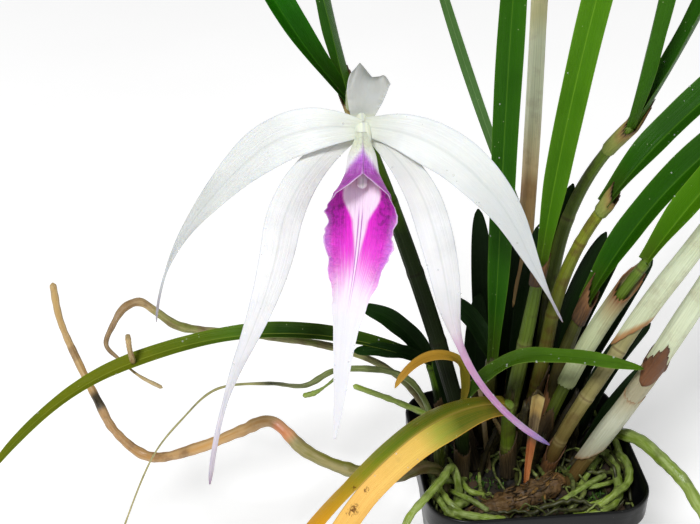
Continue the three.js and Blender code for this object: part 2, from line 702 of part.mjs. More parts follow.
// Roots, each along a route, with its radius at even shares of its length. Those that start in
// the medium stand in a hole in it, and those that lie on it are half sunk in a groove.
const rootSets = [
  {
    name: 'root_long_dead', radius: [2.4, 2.7, 2.7, 2.35, 2.15, 1.9, 1.6, 1.45], steps: 30, colour: colours.deadRoot,
    route: [
      [-33, -12, 74], [-37, -13, 88], [-45, -18, 95], [-58, -24, 96], [-76, -22, 100], [-91, -17, 106],
      [-104, -7, 114], [-116, -4, 108], [-132, -2, 100], [-153, 3, 93], [-167, 13, 100], [-173, 21, 109],
      [-180, 31, 121], [-187, 41, 137], [-189, 47, 151],
    ],
  },
  {
    name: 'root_curled', steps: 28, colour: colours.greenRoot,
    radius: [1.4, 1.4, 1.4, 1.4, 1.5, 1.6, 1.7, 1.8, 1.9, 1.9, 1.8, 1.6, 0.9, 0.5, 0.9],
    route: [
      [-33, 22, 74], [-38, 22, 95], [-52, 26, 112], [-71, 30, 121], [-101, 36, 126], [-130, 36, 131],
      [-140, 35, 135], [-148, 37, 141], [-154, 38, 145], [-160, 36, 144], [-165, 31, 139], [-168, 26, 133],
      [-163, 21, 129], [-155, 14, 125], [-146, 9, 122],
    ],
  },
  {
    name: 'root_thin', radius: [1.3, 1.3, 1.3, 1.2, 0.6, 0.4, 0.35, 0.35], steps: 24, colour: colours.greenRoot,
    route: [
      [-34, 8, 74], [-36, 9, 92], [-40, 11, 107], [-51, 7, 123], [-77, 4, 129], [-90, -1, 126],
      [-104, -1, 128], [-125, -3, 128], [-139, -11, 120], [-150, -20, 111], [-162, -37, 92], [-165, -42, 86],
    ],
  },
  {
    name: 'root_olive', radius: [1.3, 1.3, 1.1], steps: 9, colour: colours.greenRoot,
    route: [[-34, -1, 74], [-34, 1, 90], [-36, 2, 102], [-50, 0, 113], [-71, -3, 126]],
  },
  {
    name: 'root_aerial_right', radius: [2.4, 2.7, 2.6, 2.4], steps: 15, colour: colours.greenRoot,
    route: [
      [34, 13, 74], [36, 7, 87], [39, -4, 95], [45, -14, 98], [51, -24, 96], [58, -33, 91], [61, -41, 87],
      [65, -48, 81], [69, -56, 72],
    ],
  },
  {
    name: 'root_over_rim', radius: [1.7, 1.8, 1.5], steps: 12, colour: colours.greenRoot,
    route: [
      [-30, -19, 74], [-30, -18, 84], [-32, -15, 91.5], [-38.6, -26, 94], [-46, -34.6, 93], [-53.5, -40.5, 88],
      [-57, -46, 81],
    ],
  },
];
for (const set of rootSets) {
  const radiusAt = (t) => along(set.radius, t) * (1 + 0.08 * Math.sin(t * 60));
  addPiece(set.name, geometryOf(solidOf(stem(set, radiusAt, 6))), material(set.colour, 0.7));
  medium = medium.subtract(solidOf(stemSeat(set, radiusAt, 6)));
}

// Roots that lie inside the rim, grown together where they touch
const lyingSets = [
  {
    name: 'roots_inside_right',
    colour: colours.greenRoot,
    routes: [
      {
        radius: 2.2, steps: 12,
        route: [
          [35.5, 4, 80], [37.6, -3, 80], [37, -13, 80], [33.5, -27, 80], [25, -34, 79.5], [13, -35, 79],
        ],
      },
      { radius: 1.5, steps: 8, route: [[35, 2, 81], [29, -6, 81], [21, -17, 80], [17, -23, 79]] },
      { radius: 1.7, steps: 5, route: [[36, -21, 80.5], [29, -29, 81], [20, -30, 79.5]] },
    ],
  },
  {
    name: 'roots_inside_left',
    colour: colours.greenRoot,
    routes: [
      {
        radius: 2.1, steps: 8,
        route: [[-26, -21, 79], [-31, -25, 80.5], [-36, -29, 80], [-35, -34, 79.5], [-29, -37, 79]],
      },
      { radius: 1.8, steps: 5, route: [[-36, -34, 79.5], [-26, -37.5, 80], [-13, -37, 79]] },
    ],
  },
];
for (const set of lyingSets) {
  const grown = (make) =>
    set.routes
      .map((route) => solidOf(make(route, (t) => route.radius * (1 - 0.25 * t), 6)))
      .reduce((a, b) => a.add(b));
  addPiece(set.name, geometryOf(grown(stem)), material(set.colour, 0.7));
  medium = medium.subtract(grown(stemSeat));
}

// Dry bract and dry stalk among the stems
const bract = {
  foot: [-1, -12, 73], heading: [-36, -36], rise: [89, 86], length: 53, steps: 7, width: 11, columns: 6,
  thickness: 0.7, facing: [262, 0], fold: 62, widthAt: (t) => 0.3 + 0.7 * t, wave: 0.4, waves: 2,
};
const stalk = { route: [[-13, 3, 73], [-16, 1, 95], [-20, 0, 120], [-34, -4, 152]], steps: 8 };
const stalkRadius = (t) => 1.2 - 0.5 * t;
addPiece('dry_bract', geometryOf(solidOf(blade(bract))), material(colours.tanSheath, 0.8));
addPiece('dry_stalk', geometryOf(solidOf(stem(stalk, stalkRadius, 6))), material(colours.tanSheath, 0.8));
const bractSeat = blade({ ...bract, foot: [-1, -12, 72.5], width: 13, thickness: 1.9, lift: gap * 2 });
const stalkSeat = stemSeat(stalk, stalkRadius, 6);
for (const seat of [solidOf(bractSeat), solidOf(stalkSeat)]) {
  medium = medium.subtract(seat);
  rhizome = rhizome.subtract(seat);
}

addPiece('pot', geometryOf(buildPot()), material(colours.potPlastic, 0.45));
addPiece('rhizome', geometryOf(rhizome), material(colours.rhizome, 0.85));
addPiece('potting_medium', geometryOf(medium), material(colours.bark, 0.95));

export default orchid;
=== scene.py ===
# A brassocattleya orchid in flower in its square pot.
# Sizes in the dictionaries are millimetres and degrees. Meshes are made in metres.
import bpy
import numpy as np
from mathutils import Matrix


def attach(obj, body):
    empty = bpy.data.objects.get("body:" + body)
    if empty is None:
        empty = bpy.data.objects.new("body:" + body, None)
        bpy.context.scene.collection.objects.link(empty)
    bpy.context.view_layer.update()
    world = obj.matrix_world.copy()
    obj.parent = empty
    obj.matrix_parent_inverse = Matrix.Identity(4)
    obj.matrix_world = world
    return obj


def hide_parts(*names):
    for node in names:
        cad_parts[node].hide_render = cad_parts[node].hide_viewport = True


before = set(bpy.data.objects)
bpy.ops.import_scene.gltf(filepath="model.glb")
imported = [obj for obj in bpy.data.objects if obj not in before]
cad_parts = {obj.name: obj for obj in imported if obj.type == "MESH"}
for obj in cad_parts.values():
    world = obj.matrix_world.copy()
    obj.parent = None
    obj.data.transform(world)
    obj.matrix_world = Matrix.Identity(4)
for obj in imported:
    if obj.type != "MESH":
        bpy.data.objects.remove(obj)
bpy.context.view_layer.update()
print("frame loaded,", len(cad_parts), "nodes")

mm = 0.001


# Paths, frames and grids

def spread(values, t):
    # values given at even shares of a length, read at the shares t by straight lines between them
    values = np.atleast_1d(np.asarray(values, float))
    return np.interp(t, np.linspace(0, 1, len(values)), values)


def smooth(x, low=0.0, high=1.0):
    # 0 below low, 1 above high, and 3x² - 2x³ between
    x = np.clip((x - low) / (high - low), 0, 1)
    return x * x * (3 - 2 * x)


def shares(steps):
    return np.linspace(0, 1, steps + 1)


def unit(vectors):
    return vectors / np.linalg.norm(vectors, axis=-1, keepdims=True)


def direction(heading, rise):
    # (cos heading cos rise, sin heading cos rise, sin rise)
    heading, rise = np.radians(heading), np.radians(rise)
    return np.stack([np.cos(heading) * np.cos(rise), np.sin(heading) * np.cos(rise), np.sin(rise)], axis=-1)


def growthPath(piece, steps):
    # foot + the running sum of length * direction(heading(t), rise(t)) dt
    fine = 8
    middle = (np.arange(steps * fine) + 0.5) / (steps * fine)
    moves = direction(spread(piece["heading"], middle), spread(piece["rise"], middle))
    moves = moves * piece["length"] / (steps * fine)
    points = np.vstack([np.zeros(3), np.cumsum(moves, axis=0)])[::fine] + np.array(piece["foot"])
    t = shares(steps)
    return points, direction(spread(piece["heading"], t), spread(piece["rise"], t))


def readAt(places, stations, values):
    return np.stack([np.interp(places, stations, column) for column in values.T], axis=-1)


def runOf(line):
    return np.concatenate([[0], np.cumsum(np.linalg.norm(np.diff(line, axis=0), axis=1))])


def alongLine(line, start, end, steps):
    # points at even lengths from start to end of a line, and their directions
    run = runOf(line)
    points = readAt(np.linspace(start, run[-1] if end is None else end, steps + 1), run, line)
    return points, unit(np.gradient(points, axis=0))


def routePath(route, steps):
    # a cubic (2u³-3u²+1) p1 + (u³-2u²+u) m1 + (3u²-2u³) p2 + (u³-u²) m2 between each two points,
    # with knots as far apart as the square root of the gap, then read at even lengths
    p = np.asarray(route, float)
    p = np.vstack([2 * p[0] - p[1], p, 2 * p[-1] - p[-2]])
    knots = np.sqrt(np.linalg.norm(np.diff(p, axis=0), axis=1))[:, None]
    k0, k1, k2 = knots[:-2], knots[1:-1], knots[2:]
    p0, p1, p2, p3 = p[:-3], p[1:-2], p[2:-1], p[3:]
    m1 = ((p1 - p0) / k0 - (p2 - p0) / (k0 + k1) + (p2 - p1) / k1) * k1
    m2 = ((p2 - p1) / k1 - (p3 - p1) / (k1 + k2) + (p3 - p2) / k2) * k1
    u = np.linspace(0, 1, 24, endpoint=False)[None, :, None]
    p1, p2, m1, m2 = (each[:, None, :] for each in (p1, p2, m1, m2))
    curve = (2 * u**3 - 3 * u**2 + 1) * p1 + (u**3 - 2 * u**2 + u) * m1 + (3 * u**2 - 2 * u**3) * p2
    curve = np.vstack([(curve + (u**3 - u**2) * m2).reshape(-1, 3), p[-2:-1]])
    return alongLine(curve, 0, None, steps)


def facingFrames(tangents, facing):
    # side = tangent x look, front = side x tangent
    t = np.linspace(0, 1, len(tangents))
    look = direction(spread(facing[0], t), spread(facing[1], t))
    side = unit(np.cross(tangents, look))
    return side, unit(np.cross(side, tangents))


def carriedFrames(tangents):
    # a fixed axis gives each ring a first side, and the twist that it adds on the way is summed and taken out
    axis = np.array([1.0, 0, 0]) if abs(tangents[0, 2]) > 0.9 else np.array([0, 0, 1.0])
    side = unit(np.cross(tangents, axis))
    front = np.cross(tangents, side)
    turn = np.arctan2((side[1:] * front[:-1]).sum(1), (side[1:] * side[:-1]).sum(1))
    twist = -np.concatenate([[0], np.cumsum(turn)])[:, None]
    return side * np.cos(twist) + front * np.sin(twist), front * np.cos(twist) - side * np.sin(twist)


def skinFaces(rows, columns, ends):
    # quads between neighbouring rings, and a fan to a middle point at each end, or the last ring joined to
    # the first
    i, j = np.meshgrid(np.arange(rows if ends == "loop" else rows - 1), np.arange(columns), indexing="ij")
    k, n = (j + 1) % columns, (i + 1) % rows
    quads = np.stack([i * columns + j, i * columns + k, n * columns + k, n * columns + j], axis=-1)
    ring = np.arange(columns)
    after = np.roll(ring, -1)
    middle = np.full(columns, rows * columns)
    last = (rows - 1) * columns
    foot = np.stack([middle, after, ring], axis=-1)
    tip = np.stack([middle + 1, last + ring, last + after], axis=-1)
    return quads.reshape(-1, 4), (np.zeros((0, 3), int) if ends == "loop" else np.vstack([foot, tip]))


def makeSkin(name, rings, across=None, along=None, ends="caps", **masks):
    # a closed skin over rings (rows, columns, 3), with across and along as its UV map and any masks as
    # attributes of the same rows and columns
    rows, columns = rings.shape[:2]
    across = np.linspace(0, 1, columns, endpoint=False) if across is None else across
    along = shares(rows - 1)[:, None] if along is None else along
    quads, fans = skinFaces(rows, columns, ends)
    grids = [np.broadcast_to(grid, (rows, columns)) for grid in (across, along, *masks.values())]
    table = np.stack(grids, axis=-1).reshape(rows * columns, -1)
    points = rings.reshape(-1, 3)
    if ends == "caps":
        points = np.vstack([points, rings[0].mean(0), rings[-1].mean(0)])
        table = np.vstack([table, table[:columns].mean(0), table[-columns:].mean(0)])
    mesh = bpy.data.meshes.new(name)
    mesh.from_pydata(points * mm, [], quads.tolist() + fans.tolist())
    corners = np.empty(len(mesh.loops), int)
    mesh.loops.foreach_get("vertex_index", corners)
    uv = table[corners, :2]
    cells = uv[: quads.size].reshape(-1, 4, 2)
    seam = np.ptp(cells[:, :, 0], axis=1) > 0.5
    cells[:, :, 0] += seam[:, None] & (cells[:, :, 0] < 0.5)
    mesh.uv_layers.new(name="UVMap").data.foreach_set("uv", uv.ravel())
    for mask, column in zip(masks, table.T[2:]):
        mesh.attributes.new(mask, "FLOAT", "POINT").data.foreach_set("value", column)
    mesh.shade_smooth()
    return mesh


def makeCrowd(name, shape, places=None, turns=None, sizes=None, **masks):
    # many closed ring shapes (count, rows, columns, 3), or one shape repeated: place + turn * (shape * size)
    rows, columns = shape.shape[-3:-1]
    quads, fans = skinFaces(rows, columns, "caps")
    poles = [shape[..., row, :, :].reshape(-1, 1, columns, 3).mean(2) for row in (0, -1)]
    points = np.concatenate([shape.reshape(-1, rows * columns, 3), *poles], axis=1)
    if places is not None:
        points = np.einsum("nij,nkj->nki", turns, points * sizes[:, None]) + places[:, None]
    step = np.arange(len(points))[:, None, None] * points.shape[1]
    mesh = bpy.data.meshes.new(name)
    faces = (quads[None] + step).reshape(-1, 4).tolist() + (fans[None] + step).reshape(-1, 3).tolist()
    mesh.from_pydata(points.reshape(-1, 3) * mm, [], faces)
    for mask, values in masks.items():
        each = np.repeat(values, points.shape[1])
        mesh.attributes.new(mask, "FLOAT", "POINT").data.foreach_set("value", each)
    mesh.shade_smooth()
    return mesh


def standOn(normals, spin):
    # turning matrices whose third column is the normal and whose first is turned round it by spin
    helper = np.where(np.abs(normals[:, 2:]) > 0.9, [[1.0, 0, 0]], [[0, 0, 1.0]])
    first = unit(np.cross(helper, normals))
    second = np.cross(normals, first)
    turned = first * np.cos(spin)[:, None] + second * np.sin(spin)[:, None]
    return np.stack([turned, np.cross(normals, turned), normals], axis=-1)


def waviness(place, seed, size, count=10):
    # a sum of sines along random directions, each with a wavelength near size, between about -1 and 1
    random = np.random.default_rng(seed)
    ways = unit(random.normal(size=(count, place.shape[-1]))) * random.uniform(0.6, 1.6, (count, 1))
    waves = np.sin(place @ ways.T * 2 * np.pi / size + random.uniform(0, 6.28, count))
    return waves.sum(-1) / np.sqrt(count)


# Material helpers: each adds nodes to the tree that its first socket belongs to

def tint(code):
    # a colour code such as "#3f8a1f" as linear light
    value = np.array([int(code[i:i + 2], 16) for i in (1, 3, 5)]) / 255
    linear = np.where(value <= 0.04045, value / 12.92, ((value + 0.055) / 1.055) ** 2.4)
    return (*linear.tolist(), 1.0)


def isSocket(value):
    return isinstance(value, bpy.types.NodeSocket)


def feed(socket, value):
    if isSocket(value):
        socket.id_data.links.new(value, socket)
    else:
        socket.default_value = value


def addNode(tree, kind, inputs=None, **settings):
    node = tree.nodes.new(kind)
    for name, value in settings.items():
        setattr(node, name, value)
    for name, value in (inputs or {}).items():
        feed(node.inputs[name], value)
    return node


def maths(operation, *values):
    tree = next(value.id_data for value in values if isSocket(value))
    return addNode(tree, "ShaderNodeMath", dict(enumerate(values)), operation=operation).outputs[0]


def times(*values):
    result = values[0]
    for value in values[1:]:
        result = maths("MULTIPLY", result, value)
    return result


def fade(value, low, high, start=0.0, end=1.0):
    # from start to end as the value goes from low to high, smoothed
    inputs = {"Value": value, "From Min": low, "From Max": high, "To Min": start, "To Max": end}
    node = addNode(value.id_data, "ShaderNodeMapRange", inputs, interpolation_type="SMOOTHSTEP")
    return node.outputs["Result"]


def blend(factor, first, second):
    colours = [tint(value) if isinstance(value, str) else value for value in (first, second)]
    inputs = {0: factor, 6: colours[0], 7: colours[1]}
    return addNode(factor.id_data, "ShaderNodeMix", inputs, data_type="RGBA").outputs[2]


def paint(colour, *coats):
    # each coat (tint, mask, share ...) is laid over the last as thickly as its masks and shares multiply to
    for code, *shares in coats:
        colour = blend(times(*shares), colour, code)
    return colour


def ramp(value, stops):
    # colours at places from 0 to 1, with straight blends between
    node = addNode(value.id_data, "ShaderNodeValToRGB", {"Fac": value})
    elements = node.color_ramp.elements
    while len(elements) < len(stops):
        elements.new(1.0)
    for element, (place, code) in zip(elements, stops):
        element.position = place
        element.color = tint(code)
    return node.outputs["Color"]


def noise(vector, scale, detail=3.0, roughness=0.55):
    inputs = {"Vector": vector, "Scale": scale, "Detail": detail, "Roughness": roughness}
    return addNode(vector.id_data, "ShaderNodeTexNoise", inputs).outputs["Fac"]


def objectPlace(tree):
    return addNode(tree, "ShaderNodeTexCoord").outputs["Object"]


def surfacePlace(tree):
    # across and along, each from 0 to 1
    uv = addNode(tree, "ShaderNodeUVMap", uv_map="UVMap").outputs["UV"]
    split = addNode(tree, "ShaderNodeSeparateXYZ", {"Vector": uv})
    return split.outputs["X"], split.outputs["Y"]


def mask(tree, name):
    return addNode(tree, "ShaderNodeAttribute", attribute_name=name).outputs["Fac"]


def newGroup(name, inputs, outputs):
    group = bpy.data.node_groups.new(name, "ShaderNodeTree")
    for socket, value in inputs.items():
        made = group.interface.new_socket(socket, in_out="INPUT", socket_type="NodeSocketFloat")
        made.default_value = value
    for socket in outputs:
        group.interface.new_socket(socket, in_out="OUTPUT", socket_type="NodeSocketFloat")
    entry = group.nodes.new("NodeGroupInput").outputs
    leave = group.nodes.new("NodeGroupOutput").inputs
    return group, entry, leave


# Shared effects

def buildStreaks():
    # fine lines along a piece: noise on (across * Lines, along * Run)
    group, entry, leave = newGroup("lengthwise streaks", {"Lines": 40.0, "Run": 2.0, "Seed": 0.0}, ["Value"])
    across, along = surfacePlace(group)
    parts = {"X": times(across, entry["Lines"]), "Y": times(along, entry["Run"]), "Z": entry["Seed"]}
    spot = addNode(group, "ShaderNodeCombineXYZ", parts).outputs["Vector"]
    feed(leave["Value"], fade(noise(spot, 1.0, detail=4.0, roughness=0.6), 0.32, 0.68))
    return group


def buildBlotches():
    # soft uneven patches in the object's own space
    group, entry, leave = newGroup("blotches", {"Scale": 60.0, "Low": 0.45, "High": 0.6}, ["Mask"])
    value = noise(objectPlace(group), entry["Scale"], detail=5.0, roughness=0.6)
    feed(leave["Mask"], fade(value, entry["Low"], entry["High"]))
    return group


def buildFlecks():
    # small scattered marks: cells whose random value is under Share, filled to Size of their middle
    group, entry, leave = newGroup("flecks", {"Scale": 500.0, "Share": 0.1, "Size": 0.3}, ["Mask"])
    cells = addNode(group, "ShaderNodeTexVoronoi", {"Vector": objectPlace(group), "Scale": entry["Scale"]})
    chosen = addNode(group, "ShaderNodeSeparateColor", {"Color": cells.outputs["Color"]}).outputs[0]
    near = fade(cells.outputs["Distance"], times(entry["Size"], 0.5), entry["Size"], 1.0, 0.0)
    feed(leave["Mask"], times(near, maths("LESS_THAN", chosen, entry["Share"])))
    return group


def buildBladeMasks():
    # Middle is 1 on the midline and Edge is 1 on both margins, each fading over its own width
    inputs = {"Middle width": 0.06, "Edge width": 0.08}
    group, entry, leave = newGroup("blade masks", inputs, ["Middle", "Edge"])
    off = maths("ABSOLUTE", maths("SUBTRACT", surfacePlace(group)[0], 0.5))
    feed(leave["Middle"], fade(off, 0.0, entry["Middle width"], 1.0, 0.0))
    feed(leave["Edge"], fade(off, maths("SUBTRACT", 0.5, entry["Edge width"]), 0.5))
    return group


groups = {
    "streaks": buildStreaks(),
    "blotches": buildBlotches(),
    "flecks": buildFlecks(),
    "bladeMasks": buildBladeMasks(),
}


def useGroup(tree, effect, inputs):
    return addNode(tree, "ShaderNodeGroup", inputs, node_tree=groups[effect]).outputs


def streaks(tree, lines, run, seed=0.0):
    return useGroup(tree, "streaks", {"Lines": lines, "Run": run, "Seed": seed})["Value"]


def blotches(tree, scale, low, high):
    return useGroup(tree, "blotches", {"Scale": scale, "Low": low, "High": high})["Mask"]


def flecks(tree, scale, share, size):
    return useGroup(tree, "flecks", {"Scale": scale, "Share": share, "Size": size})["Mask"]


def setShader(material, settings):
    shader = material.node_tree.nodes["Principled BSDF"].inputs
    for name, value in settings.items():
        feed(shader[name], value)


def newMaterial(name, specular=0.5, subsurface=0.0, subsurfaceReach=0.001):
    material = bpy.data.materials.new(name)
    material.use_nodes = True
    setShader(material, {
        "Specular IOR Level": specular, "Subsurface Weight": subsurface, "Subsurface Scale": subsurfaceReach,
        "Subsurface Radius": (1.0, 0.7, 0.4), "Coat Roughness": 0.15,
    })
    return material, material.node_tree


def finishMaterial(material, colour, roughness, *layers):
    # layers of (height, distance in metres), each bump passed on to the next
    normal = {}
    for height, distance in layers:
        inputs = {"Height": height, "Distance": distance, "Strength": 0.8, **normal}
        normal = {"Normal": addNode(material.node_tree, "ShaderNodeBump", inputs).outputs["Normal"]}
    setShader(material, {"Base Color": colour, "Roughness": roughness, **normal})
    return material


def leafMaterial(name, look):
    # waxy strap leaf: green from foot to tip, a pale or dark midline, fine parallel veins, pale flecks
    material, tree = newMaterial(name, specular=0.1, subsurface=0.05)
    across, along = surfacePlace(tree)
    masks = useGroup(tree, "bladeMasks", {"Middle width": 0.035, "Edge width": 0.03})
    veins = streaks(tree, 46.0, 1.2, look.get("seed", 0.0))
    patches = blotches(tree, 38.0, 0.42, 0.66)
    colour = ramp(along, look["along"])
    if "right" in look:
        colour = blend(fade(across, 0.47, 0.53), colour, ramp(along, look["right"]))
    colour = paint(
        colour, (look["patch"], patches, look.get("patchShare", 0.35)), (look["vein"], veins, 0.25),
        (look["middle"], masks["Middle"], look.get("middleShare", 0.5)), (look["edge"], masks["Edge"], 0.45),
        (look["under"], mask(tree, "under"), 0.5),
    )
    if "spots" in look:
        colour = paint(colour, (look["spots"], flecks(tree, 120.0, 0.18, 0.28), along, 0.8))
    if "blots" in look:
        wide, long = look["spread"]
        parts = {"X": times(across, wide), "Y": times(along, long)}
        flat = addNode(tree, "ShaderNodeCombineXYZ", parts).outputs["Vector"]
        ragged = fade(noise(flat, 0.9, detail=4.0), 0.35, 0.65, 0.0, 1.6)
        for x, y, reach in look["blots"]:
            apart = addNode(tree, "ShaderNodeVectorMath", {0: flat, 1: (x, y, 0)}, operation="DISTANCE")
            far = maths("ADD", apart.outputs["Value"], ragged)
            colour = paint(colour, (look["spots"], fade(far, reach * 0.6, reach * 1.5, 0.85, 0.0)))
    colour = paint(colour, ("#c2d09c", flecks(tree, 620.0, 0.07, 0.18), look.get("dust", 0.35)))
    gloss = fade(patches, 0.0, 1.0, look.get("gloss", 0.3), 0.48)
    grain = noise(objectPlace(tree), 900.0)
    return finishMaterial(material, colour, gloss, (veins, 0.00012), (grain, 0.00004))


def petalMaterial(name, stops):
    # white flesh: a tint along its length, fine grey veins, and painted shade: soft grey patches with faint
    # lilac streaks in them, a grey midline and grey margins; a dewy grain
    material, tree = newMaterial(name, subsurface=0.25, subsurfaceReach=0.0015)
    masks = useGroup(tree, "bladeMasks", {"Middle width": 0.06, "Edge width": 0.05})
    veins = streaks(tree, 44.0, 0.7)
    fine = streaks(tree, 120.0, 8.0, 3.0)
    patches = blotches(tree, 45.0, 0.4, 0.7)
    # painted shade: the grey patches (#c3cac7), the grey midline (#a9b1ae) and the grey margins (#bcc0c6)
    colour = paint(
        ramp(surfacePlace(tree)[1], stops), ("#c3cac7", patches, 0.3), ("#b3baba", veins, 0.2),
        ("#c3c1d2", fine, patches, 0.2), ("#a9b1ae", masks["Middle"], 0.3), ("#bcc0c6", masks["Edge"], 0.55),
    )
    grain = noise(objectPlace(tree), 1500.0, detail=2.0)
    return finishMaterial(material, colour, fade(fine, 0.0, 1.0, 0.36, 0.55),
                          (veins, 0.00009), (fine, 0.00003), (grain, 0.00003))


def lipMaterial(name):
    # magenta patches beside a white throat, lilac ruffled margins, purple lines down the middle, white below;
    # off is the distance from the midline, from 0 to 1 at the margin
    material, tree = newMaterial(name, specular=0.3, subsurface=0.2, subsurfaceReach=0.0012)
    across, along = surfacePlace(tree)
    off = times(maths("ABSOLUTE", maths("SUBTRACT", across, 0.5)), 2.0)
    veins = streaks(tree, 70.0, 2.4, 1.0)
    fine = streaks(tree, 150.0, 30.0, 7.0)
    rays = streaks(tree, 9.0, 95.0, 11.0)
    grains = blotches(tree, 620.0, 0.46, 0.6)
    reach = maths("ADD", along, maths("ADD", times(off, -0.04), times(veins, 0.08)))

    # inner face
    throatEdge = times(fade(along, 0.2, 0.285, 0.4, 0.17), fade(along, 0.26, 0.42, 1.0, 0.25))
    sides = fade(maths("SUBTRACT", off, throatEdge), -0.04, 0.06)
    magenta = times(sides, fade(along, 0.12, 0.19), fade(reach, 0.38, 0.54, 1.0, 0.0))
    deep = times(magenta, fade(off, 0.2, 0.5), fade(along, 0.36, 0.25))
    margin = fade(off, 0.66, 0.95)
    rimRun = fade(along, 0.5, 0.36)
    line = fade(maths("ABSOLUTE", maths("SUBTRACT", off, 0.04)), 0.006, 0.024, 1.0, 0.0)
    lineRun = times(fade(along, 0.22, 0.28), fade(along, 0.6, 0.42))
    # the pinkish grey (#b9829f) near the top of the inner face is painted shade in the throat
    colour = paint(
        blend(fade(along, 0.45, 0.62), "#f2dff2", "#e0e0e4"),
        ("#cfcdd8", veins, fade(along, 0.4, 0.6), 0.4), ("#b9829f", fade(along, 0.14, 0.2, 0.7, 0.0)),
        ("#ec2ad6", magenta), ("#aa0a9c", deep, 0.7), ("#5a0552", deep, grains, 0.85),
        ("#b010ac", magenta, veins, 0.45), ("#8a0f96", magenta, rays, fade(off, 0.3, 0.7), 0.45),
        ("#f796f2", magenta, fine, fade(along, 0.25, 0.4), 0.25),
        ("#e4a6f6", margin, rimRun, fade(along, 0.22, 0.3), 0.6), ("#ac40d0", margin, rays, rimRun, 0.45),
        ("#f1d3f6", fade(off, 0.92, 0.985), rimRun, 0.8), ("#a83cb4", line, lineRun, 0.75),
    )

    # outer face, seen where the foot of the lip rolls into a tube
    purple = fade(maths("SUBTRACT", off, fade(along, 0.0, 0.21, 1.06, 0.3)), -0.08, 0.16)
    purple = times(purple, fade(reach, 0.36, 0.5, 1.0, 0.0))
    tone = blend(fade(along, 0.05, 0.15), "#c878f0", "#b810bc")
    fringe = times(fade(off, 0.95, 0.99), purple, fade(along, 0.1, 0.16))
    shell = paint(
        blend(fade(along, 0.03, 0.1), "#e2e7ce", "#f4f0f6"), (tone, purple), ("#8d1596", purple, veins, 0.6),
        ("#7c0884", purple, rays, fade(along, 0.05, 0.13), 0.7), ("#f3d3fb", purple, fine, 0.2),
        ("#f3dcf8", fringe, 0.8),
    )
    grain = noise(objectPlace(tree), 1400.0, detail=2.0)
    ribs = times(veins, fade(along, 0.3, 0.6, 1.0, 0.15))
    crimps = times(rays, fade(off, 0.4, 0.9), fade(along, 0.35, 0.55, 1.0, 0.05))
    colour = blend(mask(tree, "inner"), shell, colour)
    return finishMaterial(material, colour, fade(veins, 0.0, 1.0, 0.34, 0.5),
                          (ribs, 0.0003), (crimps, 0.0004), (grain, 0.00005))


def stemMaterial(name, look):
    # ribbed stem: a tint along it, a brown ring and a pale band at each joint, blotches and long streaks
    material, tree = newMaterial(name, specular=look.get("specular", 0.3), subsurface=0.05)
    joint = maths("PINGPONG", mask(tree, "joints"), 0.5)
    ribs = streaks(tree, 26.0, 1.0, look.get("seed", 0.0))
    patches = blotches(tree, 90.0, 0.5, 0.68)
    colour = paint(
        ramp(surfacePlace(tree)[1], look["along"]), (look["rib"], ribs, 0.3),
        (look["patch"], patches, look.get("patchShare", 0.45)),
        (look["band"], fade(joint, 0.03, 0.1, 1.0, 0.0), 0.22),
        (look["ring"], fade(joint, 0.008, 0.03, 1.0, 0.0), 0.5),
        ("#3a2c14", flecks(tree, 700.0, 0.14, 0.22), 0.5),
    )
    gloss = fade(ribs, 0.0, 1.0, 0.36, 0.55)
    return finishMaterial(material, colour, gloss, (ribs, 0.0002), (patches, 0.00008))


def paperMaterial(name, stops, fibre, stain):
    # dry papery tissue: a tint along it, long fibres, stains, no shine
    material, tree = newMaterial(name, subsurface=0.12)
    fibres = streaks(tree, 42.0, 2.2, 5.0)
    stains = blotches(tree, 120.0, 0.52, 0.7)
    colour = paint(
        ramp(surfacePlace(tree)[1], stops), (fibre, fibres, 0.3), (stain, stains, 0.22),
        (stain, mask(tree, "torn"), 0.7),
    )
    gloss = fade(fibres, 0.0, 1.0, 0.5, 0.75)
    return finishMaterial(material, colour, gloss, (fibres, 0.00014), (stains, 0.00008))


def rootMaterial(name, stops, skin, stain):
    # spongy root skin: a tint along it, pale silvery lengthwise streaks that are partly the skin's own silver
    # and partly painted highlight, stains, fine pits
    material, tree = newMaterial(name, subsurface=0.06)
    silver = streaks(tree, 9.0, 9.0, 2.0)
    stains = blotches(tree, 110.0, 0.5, 0.66)
    pits = noise(objectPlace(tree), 1100.0, detail=3.0)
    # the pale streaks mixed in here are the skin's silver and painted highlight together
    colour = paint(ramp(surfacePlace(tree)[1], stops), (skin, silver, 0.32), (stain, stains, 0.5))
    gloss = fade(silver, 0.0, 1.0, 0.28, 0.55)
    return finishMaterial(material, colour, gloss, (silver, 0.0003), (pits, 0.00015))


def stretched(spot, scale):
    return addNode(spot.id_data, "ShaderNodeMapping", {"Vector": spot, "Scale": scale}).outputs[0]


def barkMaterial(name, dark, light, scale):
    # broken bark: layered grain, a tone for each chip from its own attribute
    material, tree = newMaterial(name)
    spot = objectPlace(tree)
    layers = noise(stretched(spot, (1.0, 0.35, 2.2)), scale, detail=6.0, roughness=0.65)
    damp = blotches(tree, 150.0, 0.45, 0.62)
    colour = blend(fade(layers, 0.35, 0.7), dark, light)
    colour = paint(colour, ("#4f3820", mask(tree, "tone"), 0.5), ("#0c0a06", damp, 0.7))
    return finishMaterial(material, colour, fade(damp, 0.0, 1.0, 0.9, 0.45),
                          (layers, 0.0009), (noise(spot, 1800.0), 0.0002))


def strandMaterial(name, first, second):
    # damp strands: each between two tints by its own tone, darkened in patches
    material, tree = newMaterial(name, specular=0.35)
    grain = noise(objectPlace(tree), 420.0, detail=5.0, roughness=0.65)
    colour = blend(mask(tree, "tone"), first, second)
    colour = paint(colour, ("#0e0a05", fade(grain, 0.42, 0.62, 0.0, 0.7)))
    return finishMaterial(material, colour, fade(grain, 0.3, 0.7, 0.35, 0.7), (grain, 0.0003))


